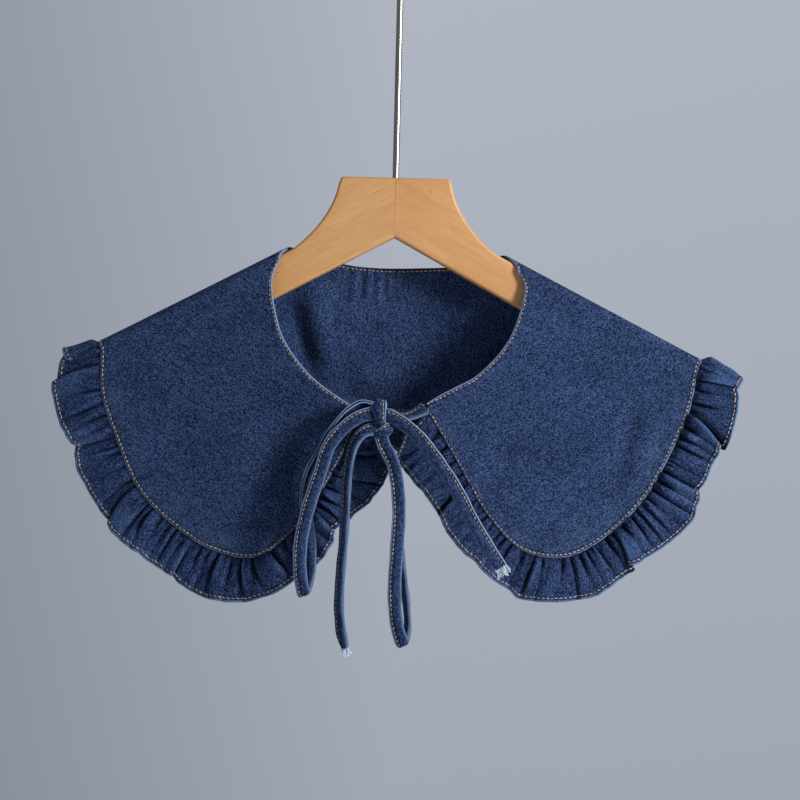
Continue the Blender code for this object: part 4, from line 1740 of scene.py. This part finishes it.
            # Painted shade in the cleft, wider beside deep laps; a pale line on the crest, partly wear and
            # partly painted highlight; painted highlight on a deep lap's flap face.
            spread = (0.25 + 0.35 * depth) * (1 + 0.6 * max(0.0, abs(lap) - 0.9))
            dark = np.exp(np.where(aside < 0, aside / spread, -aside / 0.45))
            work.tone += 0.03 * here * bell(aside - 1.7, 1.0) - self.crease_painted_shade * here * dark
            work.tone += 0.035 * flap * bell(aside - 5.5, 4.0) * smoothstep(0.15, 0.5, part)
            if lap:
                back = np.maximum(0.0, aside) / 1.4
                work.push += lap * swell * back * np.exp(1 - back)

    def gather(self, flat: FlatStrip, whole: float, work: Relief) -> None:
        """Waves the hem, leans the fronts back and draws up the small gathers beside the seam, painting shade
        between them.

        Args:
            flat: The strip.
            whole: The seam's length.
            work: The strip's relief, which is added to.
        """
        run, far, part = flat.run, flat.far, flat.part
        work.height += part**2 * (2.0 * np.sin(run / 8.7) + 1.2 * np.sin(run / 3.9 + 1.0))
        leaning = 1 - smoothstep(60.0, 110.0, np.minimum(run, whole - run))
        work.height -= self.back_lean * leaning * np.maximum(far, 0.0)
        phase = run * math.pi / self.gather_pitch + 1.6 * np.sin(run / 6.1) + 0.7 * np.sin(run / 2.3)
        gathers = np.abs(np.sin(phase))
        uneven = 0.45 + 0.55 * np.sin(run / 8.3 + 2.0 * np.sin(run / 29.0)) ** 2
        pinched = uneven * np.exp(-(((far - 1.8) / (2.5 + 3.5 * uneven)) ** 2)) * smoothstep(0.0, 0.05, part)
        work.height += self.gather_height * (gathers - 0.65) * pinched
        # Painted shade in the valleys between the gathers.
        work.tone -= self.gather_painted_shade * np.exp(-gathers / 0.26) * pinched

    def hang(self, flat: FlatStrip, run: Array, height: Array, seam: Seam) -> Array:
        """Places the worked strip along the seam, its loose ends sagging.

        Args:
            flat: The strip.
            run: Where each point has come to lie along the seam.
            height: How high it stands off the cloth.
            seam: What it is sewn to.

        Returns:
            The middle of the cloth, columns of the flat grid by its rows.
        """
        point, along, off = (
            resample(values, seam.lengths, run) for values in (seam.points, seam.along, seam.off)
        )
        along = unit(along)
        out = unit(np.cross(off, along))
        start_sag = np.maximum(0.0, 1 - run / self.sag_length)
        end_sag = np.maximum(0.0, 1 - (seam.whole - run) / self.sag_length)
        turned = (np.radians(self.sag_deg) * (start_sag - end_sag))[..., None]
        outward = unit(out * np.cos(turned) + along * np.sin(turned))
        points = point + outward * flat.far[..., None] + unit(off) * height[..., None]
        return points.transpose(1, 0, 2)

    def thickness(self, edge: Array, tip: Array) -> Array:
        """Half the thickness: one layer, doubled in the hem, pinched by its stitches and rounded off.

        Args:
            edge: How far each point lies from the hem, the hems of the ends among them.
            tip: How far it lies from the nearer end.

        Returns:
            Half the thickness at each point.
        """
        doubled = self.half + (self.hem_half - self.half) * (1 - smoothstep(*self.hem_turn, edge))
        half = quarter_round(edge, 0.8) * (doubled - 0.2 * bell(edge - self.hem_stitch, 0.5))
        return bordered(half * quarter_round(tip, 0.6))

    def hem_lines(self, points: Array, half: Array) -> list[StitchLine]:
        """The lines of stitches along the hem and along the ends that are hemmed.

        Args:
            points: The middle of the cloth.
            half: Half its thickness.

        Returns:
            The lines.
        """
        off = grid_normals(points)
        in_from_edge = self.edge_steps.index(self.hem_stitch)
        row = points.shape[1] - 1 - in_from_edge
        first = in_from_edge if self.hemmed_start else 2
        last = -1 - in_from_edge if self.hemmed_end else -3
        runs: list[tuple] = [(slice(first, last), row)]
        if self.hemmed_start:
            runs.append((first, slice(self.hem_skip, row)))
        if self.hemmed_end:
            runs.append((last, slice(self.hem_skip, row)))
        return [StitchLine(points[at], off[at], half[at] + STITCH_PROUD) for at in runs]

    def build(self, seam: Seam, denim: Material, sewing: Sewing) -> None:
        """Builds and dresses the strip and its hem stitches.

        Args:
            seam: What it is sewn to.
            denim: The cloth's finish.
            sewing: The thread.
        """
        flat = self.lay_flat(seam.creases())
        work = self.puff_out(flat)
        self.crease(flat, work)
        self.gather(flat, seam.whole, work)
        run = flat.run + work.push
        points = self.hang(flat, run, work.height, seam)

        far = flat.far.T
        edge = hem = flat.width[:, None] - far
        from_start, from_end = (
            np.broadcast_to(away[:, None], hem.shape) for away in (run[0] - self.start, self.end - run[0])
        )
        if self.hemmed_start:
            edge = np.minimum(edge, from_start)
        if self.hemmed_end:
            edge = np.minimum(edge, from_end)
        half = self.thickness(edge, np.minimum(from_start, from_end))
        # Tone of the creases, hem edge faded by wear, and painted shade in the groove of the hem stitches.
        worn = 0.5 + work.tone.T + 0.26 * bell(edge - 0.2, 0.9) - 0.3 * bell(edge - self.hem_stitch, 0.7)
        # Painted shadow of the body's edge, cast on the ruffle beside the seam.
        worn = worn - self.seam_shade * np.exp(-np.maximum(far, 0.0) / 1.5)
        fabric = path_lengths(points[:, points.shape[1] // 2])
        place = np.stack(np.broadcast_arrays(fabric[:, None], far), axis=-1)
        strip = cloth_shell(f"{self.name}_cloth", points, half, place, np.clip(worn, 0, 1))
        dress(strip, denim, self.name)
        stitches = sewing.sew(f"{self.name}_hem_stitches", self.hem_lines(points, half), self.hem_pitch)
        area = sum(face.area for face in strip.data.polygons) / 2
        width = float(np.mean(flat.width)) * MM
        log.info("%s cut %.3f x %.3f m", self.name, area / width, width)


# ---- ties and bow


@dataclass(frozen=True)
class StrapCut:
    """The section of a tie: a turned strip, sewn shut near one edge, whose two lips stay parted there.

    The section's columns are the place across, the height and how pale or dark it is: edges faded by wear,
    painted shade in the gap between the lips and along the stitch groove.
    """

    width: float = 8.2
    section: tuple[Row, ...] = (
        (3.3, 0.06, 0.0), (3.95, 0.35, 0.6), (4.1, 0.75, 0.95), (3.75, 1.1, 0.85), (3.2, 1.1, 0.5),
        (2.75, 0.8, 0.15), (2.35, 0.66, 0.1), (1.95, 0.8, 0.15), (1.4, 1.2, 0.5), (0.4, 1.6, 0.5),
        (-0.8, 1.8, 0.5), (-2.0, 1.7, 0.5), (-3.0, 1.35, 0.52), (-3.6, 0.95, 0.62), (-3.95, 0.5, 0.68),
        (-4.1, 0.0, 0.62),
    )
    stitch_at: float = 2.35
    stitch_up: float = 0.7
    stitch_pitch: float = 2.8
    least_cord: float = 6.0

    def ring(self, edge: StitchedEdge) -> tuple[Array, Array]:
        """The section all round.

        Args:
            edge: Which edge is sewn shut.

        Returns:
            Its points, and how pale or dark each is.
        """
        upper = np.array(self.section)
        lower = upper[-2::-1] * (1.0, -1.0, 1.0)
        both = np.concatenate([upper, lower])
        both[:, 0] *= edge.value
        return both[:, :2], both[:, 2]


@dataclass(frozen=True)
class Strap:
    """A stretch of a tie along its route."""

    name: str
    route: tuple[Row, ...]
    edge: StitchedEdge
    steps: int = 12
    wander: float = 0.25
    holds_knot: bool = False
    yarn_count: int = 0
    yarn_length: float = 8.0
    yarn_r: float = 0.17
    drawn_in: float = 0.0

    @property
    def frayed(self) -> bool:
        """Whether its end is cut and unravelled."""
        return self.yarn_count > 0

    def line(self) -> tuple[Array, Array]:
        """The strap's route, smoothed.

        Returns:
            Points of its middle, and its twist at each.
        """
        table = np.array(self.route)
        middle = smooth_points(table[:, :3], self.steps)
        twists = np.stack([table[:, 3], np.arange(len(table)) * 1.0, np.zeros(len(table))], axis=-1)
        return middle, smooth_points(twists, self.steps)[:, 0]

    def build(self, cut: StrapCut, denim: Material) -> tuple[Object, StitchLine]:
        """Builds and dresses the strap.

        Args:
            cut: Its section.
            denim: The cloth's finish.

        Returns:
            The strap and its line of stitches.
        """
        middle, twist = self.line()
        lengths = path_lengths(middle)
        frames = line_frames(middle, Vector((0.0, -1.0, 0.0)), twist)
        ring, worn = cut.ring(self.edge)
        sections = np.repeat(ring[None], len(middle), axis=0)
        wave = np.sin(lengths / 5.1 + 0.7) * 0.5 + np.sin(lengths / 2.3 + len(self.name)) * 0.5
        drawn = self.drawn_in * np.exp((lengths - lengths[-1]) / 4.0)
        sections[..., 0] *= (1 + 0.04 * wave - drawn)[:, None]
        sections[..., 1] *= (1 + 0.12 * np.sin(lengths / 3.7 + 2.0))[:, None]
        sections[..., 1] += (self.wander * wave)[:, None] * np.cos(ring[:, 0] / 3.0)[None]
        strap = tube(f"{self.name}_cloth", middle, frames, sections, worn)
        dress(strap, denim, self.name)
        aside = frames[:, 0] * (cut.stitch_at * self.edge.value)
        raised = frames[:, 1] * (self.wander * wave * 0.7)[:, None]
        line = StitchLine(middle + (aside + raised), frames[:, 1], np.full(len(middle), cut.stitch_up))
        return strap, line

    def fray(self, cut: StrapCut, tree: NodeTree, yarn: Material, sewing: Sewing) -> Object:
        """Grows the loose yarns from the strap's cut end.

        Args:
            cut: The strap's section.
            tree: The tree that grows them.
            yarn: Their finish.
            sewing: Makes their guide.

        Returns:
            The yarns as one piece, dressed.
        """
        middle, twist = self.line()
        frames = line_frames(middle, Vector((0.0, -1.0, 0.0)), twist)
        heading = unit(middle[-1] - middle[-3])
        reach = (cut.width / 2 - 0.4) * (1 - self.drawn_in)
        across = np.linspace(-reach, reach, 9)[:, None] * frames[-1, 0]
        ways = np.broadcast_to(heading, across.shape)
        runs = [(middle[-1] + across + frames[-1, 1] * lift, ways) for lift in (-0.5, 0.5)]
        yarns = grown(
            sewing.guide(f"{self.name}_frayed_end", runs),
            tree,
            {
                "Count": self.yarn_count // 2,
                "Length": self.yarn_length * MM,
                "Thickness": self.yarn_r * MM,
                "Spread": 0.55 + 0.5 * self.drawn_in,
                "Seed": SEED,
                "Thread": yarn,
            },
        )
        return dress(yarns, yarn)


@dataclass(frozen=True)
class KnotBand:
    """A turn of a tie round the knot: a ring whose plane is tilted, in millimetres and degrees."""

    centre: Row
    radii: Row
    axis: Row
    first: Row
    squeeze: float
    edge: StitchedEdge
    steps: int = 56


@dataclass(frozen=True)
class Bow:
    """The straps of the two ties and the knot that they make."""

    cut: StrapCut
    straps: tuple[Strap, ...]
    bands: tuple[KnotBand, ...]

    def band_line(self, band: KnotBand) -> tuple[Array, Array]:
        """A band's middle line and its frames.

        Args:
            band: The band.

        Returns:
            Points of the ring, and the sideways and facing directions of each.
        """
        axis = unit(np.array(band.axis))
        first = np.array(band.first)
        first = unit(first - axis * np.dot(first, axis))
        second = np.cross(axis, first)
        angle = np.linspace(0.0, math.tau, band.steps, endpoint=False)
        line = (
            np.array(band.centre)
            + np.cos(angle)[:, None] * first * band.radii[0]
            + np.sin(angle)[:, None] * second * band.radii[1]
        )
        outward = unit(
            np.cos(angle)[:, None] * first / band.radii[0] + np.sin(angle)[:, None] * second / band.radii[1]
        )
        return line, np.stack([np.broadcast_to(axis, line.shape), outward], axis=1)

    def knot(self, denim: Material, sewing: Sewing) -> Object:
        """The bands of the knot as one piece, with their stitches.

        Args:
            denim: The cloth's finish.
            sewing: The thread.

        Returns:
            The knot, dressed.
        """
        made = []
        lines = []
        for number, band in enumerate(self.bands):
            line, frames = self.band_line(band)
            ring, worn = self.cut.ring(band.edge)
            sections = np.repeat(ring[None], len(line), axis=0)
            angle = np.linspace(0.0, math.tau, len(line), endpoint=False)
            narrow = band.squeeze * (0.86 + 0.2 * np.sin(2 * angle) + 0.05 * np.sin(3 * angle))
            sections[..., 0] *= narrow[:, None]
            sections[..., 1] += 0.9 * np.cos(ring[:, 0] / 2.6)[None]
            made.append(tube(f"knot_band_{number}", line, frames, sections, worn, closed=True))
            at = np.append(np.arange(len(line)), 0)
            aside = frames[at, 0] * (self.cut.stitch_at * band.edge.value * narrow[at])[:, None]
            stand = np.full(len(at), self.cut.stitch_up + 0.5)
            lines.append(StitchLine(line[at] + aside, frames[at, 1], stand))
        shape = bmesh.new()
        for piece in made:
            shape.from_mesh(piece.data)
        knot = made[0]
        shape.to_mesh(knot.data)
        shape.free()
        for piece in made[1:]:
            bpy.data.objects.remove(piece)
        knot.name = "bow_knot_cloth"
        knot.data.name = "bow_knot_cloth"
        dress(knot, denim, "bow_knot")
        sewing.sew("bow_knot_stitches", lines, self.cut.stitch_pitch, both=False)
        return knot

    def build(self, denim: Material, yarn: Material, sewing: Sewing) -> None:
        """Builds and dresses every strap, the knot, the stitches and the frayed ends.

        Args:
            denim: The cloth's finish.
            yarn: The loose yarns' finish.
            sewing: The thread.
        """
        tree = fray_tree()
        knot = self.knot(denim, sewing)
        for strap in self.straps:
            piece, line = strap.build(self.cut, denim)
            on_it = [sewing.sew(f"{strap.name}_stitches", [line], self.cut.stitch_pitch)]
            if strap.frayed:
                on_it.append(strap.fray(self.cut, tree, yarn, sewing))
            if strap.holds_knot:
                on_it.append(knot)
            middle, _ = strap.line()
            length = float(path_lengths(middle)[-1]) * MM
            if length < self.cut.least_cord * self.cut.width * MM:
                continue
            log.info("%s is %.3f m long", strap.name, length)


# ---- camera, light and floor


@dataclass(frozen=True)
class Lamp:
    """A square soft lamp: its place and side in metres, its power in watts and its colour."""

    name: str
    place: Row
    side: float
    power: float
    colour: Colour
    glossy: bool = False

    def build(self, target: Row) -> None:
        """Hangs it up.

        Args:
            target: What it points at.
        """
        data = bpy.data.lights.new(self.name, "AREA")
        data.size = self.side
        data.energy = self.power
        data.color = self.colour
        made = link_object(self.name, data)
        made.location = self.place
        made.rotation_mode = "QUATERNION"
        made.rotation_quaternion = (Vector(target) - Vector(self.place)).to_track_quat("-Z", "Y")
        made.visible_glossy = self.glossy


@dataclass(frozen=True)
class Studio:
    """The camera's place and the plain light round the object, in metres."""

    eye: Row = (0.006, -1.5, -0.3033)
    roll_deg: float = 1.4
    lens: float = 108.9
    sensor: float = 36.0
    target: Row = (0.0, 0.0, -0.33)
    lamps: tuple[Lamp, ...] = (
        Lamp("key", (1.25, -0.83, 0.07), 0.35, 35.0, (1.0, 0.985, 0.96), glossy=True),
        Lamp("fill", (-1.2, -1.1, 0.1), 1.0, 4.4, (0.95, 0.97, 1.0)),
        Lamp("back", (-0.7, 1.5, 0.5), 1.2, 24.0, (1.0, 1.0, 1.0)),
    )
    left_grey: Colour = (0.25, 0.278, 0.325)
    middle_grey: Colour = (0.395, 0.43, 0.495)
    right_grey: Colour = (0.385, 0.42, 0.49)
    ambient: Colour = (0.14, 0.145, 0.155)
    floor_z: float = -0.9
    floor_r: float = 1.9
    floor_fade: float = 0.7
    floor_colour: Colour = (0.62, 0.63, 0.65)

    def camera(self) -> None:
        """Sets the camera at the front, turned slightly about its own axis."""
        roll = math.radians(self.roll_deg)
        right = Vector((math.cos(roll), 0.0, math.sin(roll)))
        up = Vector((-math.sin(roll), 0.0, math.cos(roll)))
        data = bpy.data.cameras.new("camera")
        data.lens = self.lens
        data.sensor_width = self.sensor
        eye = link_object("camera", data)
        turn = Matrix((right, up, (0.0, -1.0, 0.0))).transposed().to_4x4()
        eye.matrix_world = Matrix.Translation(self.eye) @ turn
        bpy.context.scene.camera = eye

    def world(self) -> None:
        """A grey world that lights evenly and shows as a soft wall with painted light, paler on the right and
        darker lower down.
        """
        world = bpy.data.worlds.new("studio")
        world.use_nodes = True
        bpy.context.scene.world = world
        world.node_tree.nodes.clear()
        nodes = Nodes(world.node_tree)
        ray = nodes.add("ShaderNodeLightPath").outputs
        seen = nodes.reckon("MAXIMUM", ray["Is Camera Ray"], ray["Is Glossy Ray"])
        seen = nodes.reckon("MAXIMUM", seen, ray["Is Transmission Ray"])
        way = nodes.add("ShaderNodeTexCoord").outputs["Generated"]
        parts = nodes.add("ShaderNodeSeparateXYZ", {"Vector": way}).outputs
        # Painted light on the wall: darker to the left and lower down, paler to the right.
        aside = nodes.reckon("MULTIPLY_ADD", parts[0], 2.5, 0.5)
        wall = nodes.ramp(aside, ((0.0, self.left_grey), (0.5, self.middle_grey), (1.0, self.right_grey)))
        upward = nodes.reckon("MULTIPLY_ADD", parts[2], 0.55, 1.0)
        wall = nodes.out("ShaderNodeVectorMath", {0: wall, "Scale": upward}, operation="SCALE")
        shown = nodes.out("ShaderNodeBackground", {"Color": wall, "Strength": 1.0})
        light = nodes.out("ShaderNodeBackground", {"Color": (*self.ambient, 1.0), "Strength": 1.0})
        both = nodes.out("ShaderNodeMixShader", {0: seen, 1: light, 2: shown})
        nodes.add("ShaderNodeOutputWorld", {"Surface": both})

    def floor(self) -> None:
        """A pale round floor far below, fading out at its rim."""
        bpy.ops.mesh.primitive_circle_add(
            vertices=96, radius=self.floor_r, fill_type="NGON", location=(0, 0, 0)
        )
        floor = bpy.context.object
        floor.name = "floor"
        floor.data.transform(Matrix.Translation((0.0, 0.0, self.floor_z)))
        made, nodes = new_material("floor_paper")
        place = nodes.add("ShaderNodeTexCoord").outputs["Object"]
        flat = nodes.out("ShaderNodeMapping", {"Vector": place, "Scale": (1.0, 1.0, 0.0)})
        far = nodes.add("ShaderNodeVectorMath", {0: flat}, operation="LENGTH").outputs["Value"]
        rim = self.floor_r * 0.98
        fade = nodes.out(
            "ShaderNodeMapRange",
            {"Value": far, "From Min": self.floor_fade, "From Max": rim, "To Min": 1.0, "To Max": 0.0},
        )
        nodes.shade({"Base Color": (*self.floor_colour, 1.0), "Roughness": 0.9, "Alpha": fade})
        floor.data.materials.append(made)

    def build(self) -> None:
        """Sets up the camera, the lamps, the world and the floor."""
        self.camera()
        for lamp in self.lamps:
            lamp.build(self.target)
        self.world()
        self.floor()


# ---- the whole object


def ruffle_strips(whole: float) -> tuple[RuffleStrip, ...]:
    """The three strips of the ruffle, joined near the shoulders.

    Args:
        whole: The length of the seam.

    Returns:
        The left front's strip, the back's and the right front's.
    """
    end_gap, join_left, join_right = 1.0, 213.0, 222.0
    return (
        RuffleStrip("ruffle_left", end_gap, join_left, hemmed_start=True, sag_deg=24.0),
        RuffleStrip("ruffle_back", join_left, whole - join_right),
        RuffleStrip(
            "ruffle_right",
            whole - join_right,
            whole - end_gap,
            hemmed_end=True,
            sag_deg=16.0,
            end_width=22.0,
        ),
    )


def tied_bow() -> Bow:
    """The bow as it is tied.

    Returns:
        The two ties, their loops and tails, and the two turns of the knot.
    """
    left, right = StitchedEdge.LEFT, StitchedEdge.RIGHT
    straps = (
        Strap("tie_left", LEFT_TIE, left, wander=0.1),
        Strap("tie_right", RIGHT_TIE, left, wander=0.1),
        Strap("bow_loop_left", LEFT_LOOP, left, holds_knot=True),
        Strap("bow_loop_right", RIGHT_LOOP, left),
        Strap("tie_tail_left", LEFT_TAIL, left, yarn_count=64, yarn_length=6.0, drawn_in=0.5),
        Strap("tie_tail_right", RIGHT_TAIL, right, yarn_count=70, yarn_length=7.0),
    )
    bands = (
        KnotBand((-6.0, -35.2, -311.8), (6.9, 4.9), (1.0, 0.0, 0.14), (0.0, 0.0, 1.0), 1.1, left),
        KnotBand((-4.6, -36.4, -322.2), (4.6, 4.2), (0.35, 0.1, -1.0), (1.0, 0.0, 0.0), 0.85, right),
    )
    return Bow(StrapCut(), straps, bands)


def main() -> None:
    """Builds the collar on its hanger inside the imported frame."""
    logging.basicConfig(level=logging.INFO, format="%(name)s: %(message)s")
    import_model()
    bpy.context.scene.view_settings.view_transform = "Standard"
    Studio().build()

    thread = ThreadFinish("topstitch_thread", (0.37, 0.295, 0.235), (0.165, 0.12, 0.09)).build()
    yarn = ThreadFinish("loose_yarn", (0.75, 0.84, 0.95), (0.4, 0.55, 0.75)).build()
    sewing = Sewing(stitch_tree(), thread)
    body_denim = DenimFinish("indigo_denim", (0.0097, 0.0243, 0.081), speckle=0.9).build()
    # The ruffle's pale is bluer: its faded hems and the painted highlights on its crests.
    ruffle_denim = DenimFinish(
        "ruffle_denim_cloth", (0.0087, 0.0228, 0.081), speckle=0.88, pale=(0.17, 0.33, 0.64)
    ).build()
    tie_denim = DenimFinish("tie_denim_cloth", (0.0097, 0.0246, 0.082), speckle=0.88).build()

    hanger = Hanger()
    hanger.build(SteelFinish().build())
    middle = CollarBody(hanger).build(body_denim, sewing)
    seam = Seam.of(middle)
    for strip in ruffle_strips(seam.whole):
        strip.build(seam, ruffle_denim, sewing)
    tied_bow().build(tie_denim, yarn, sewing)


if __name__ == "__main__":
    main()
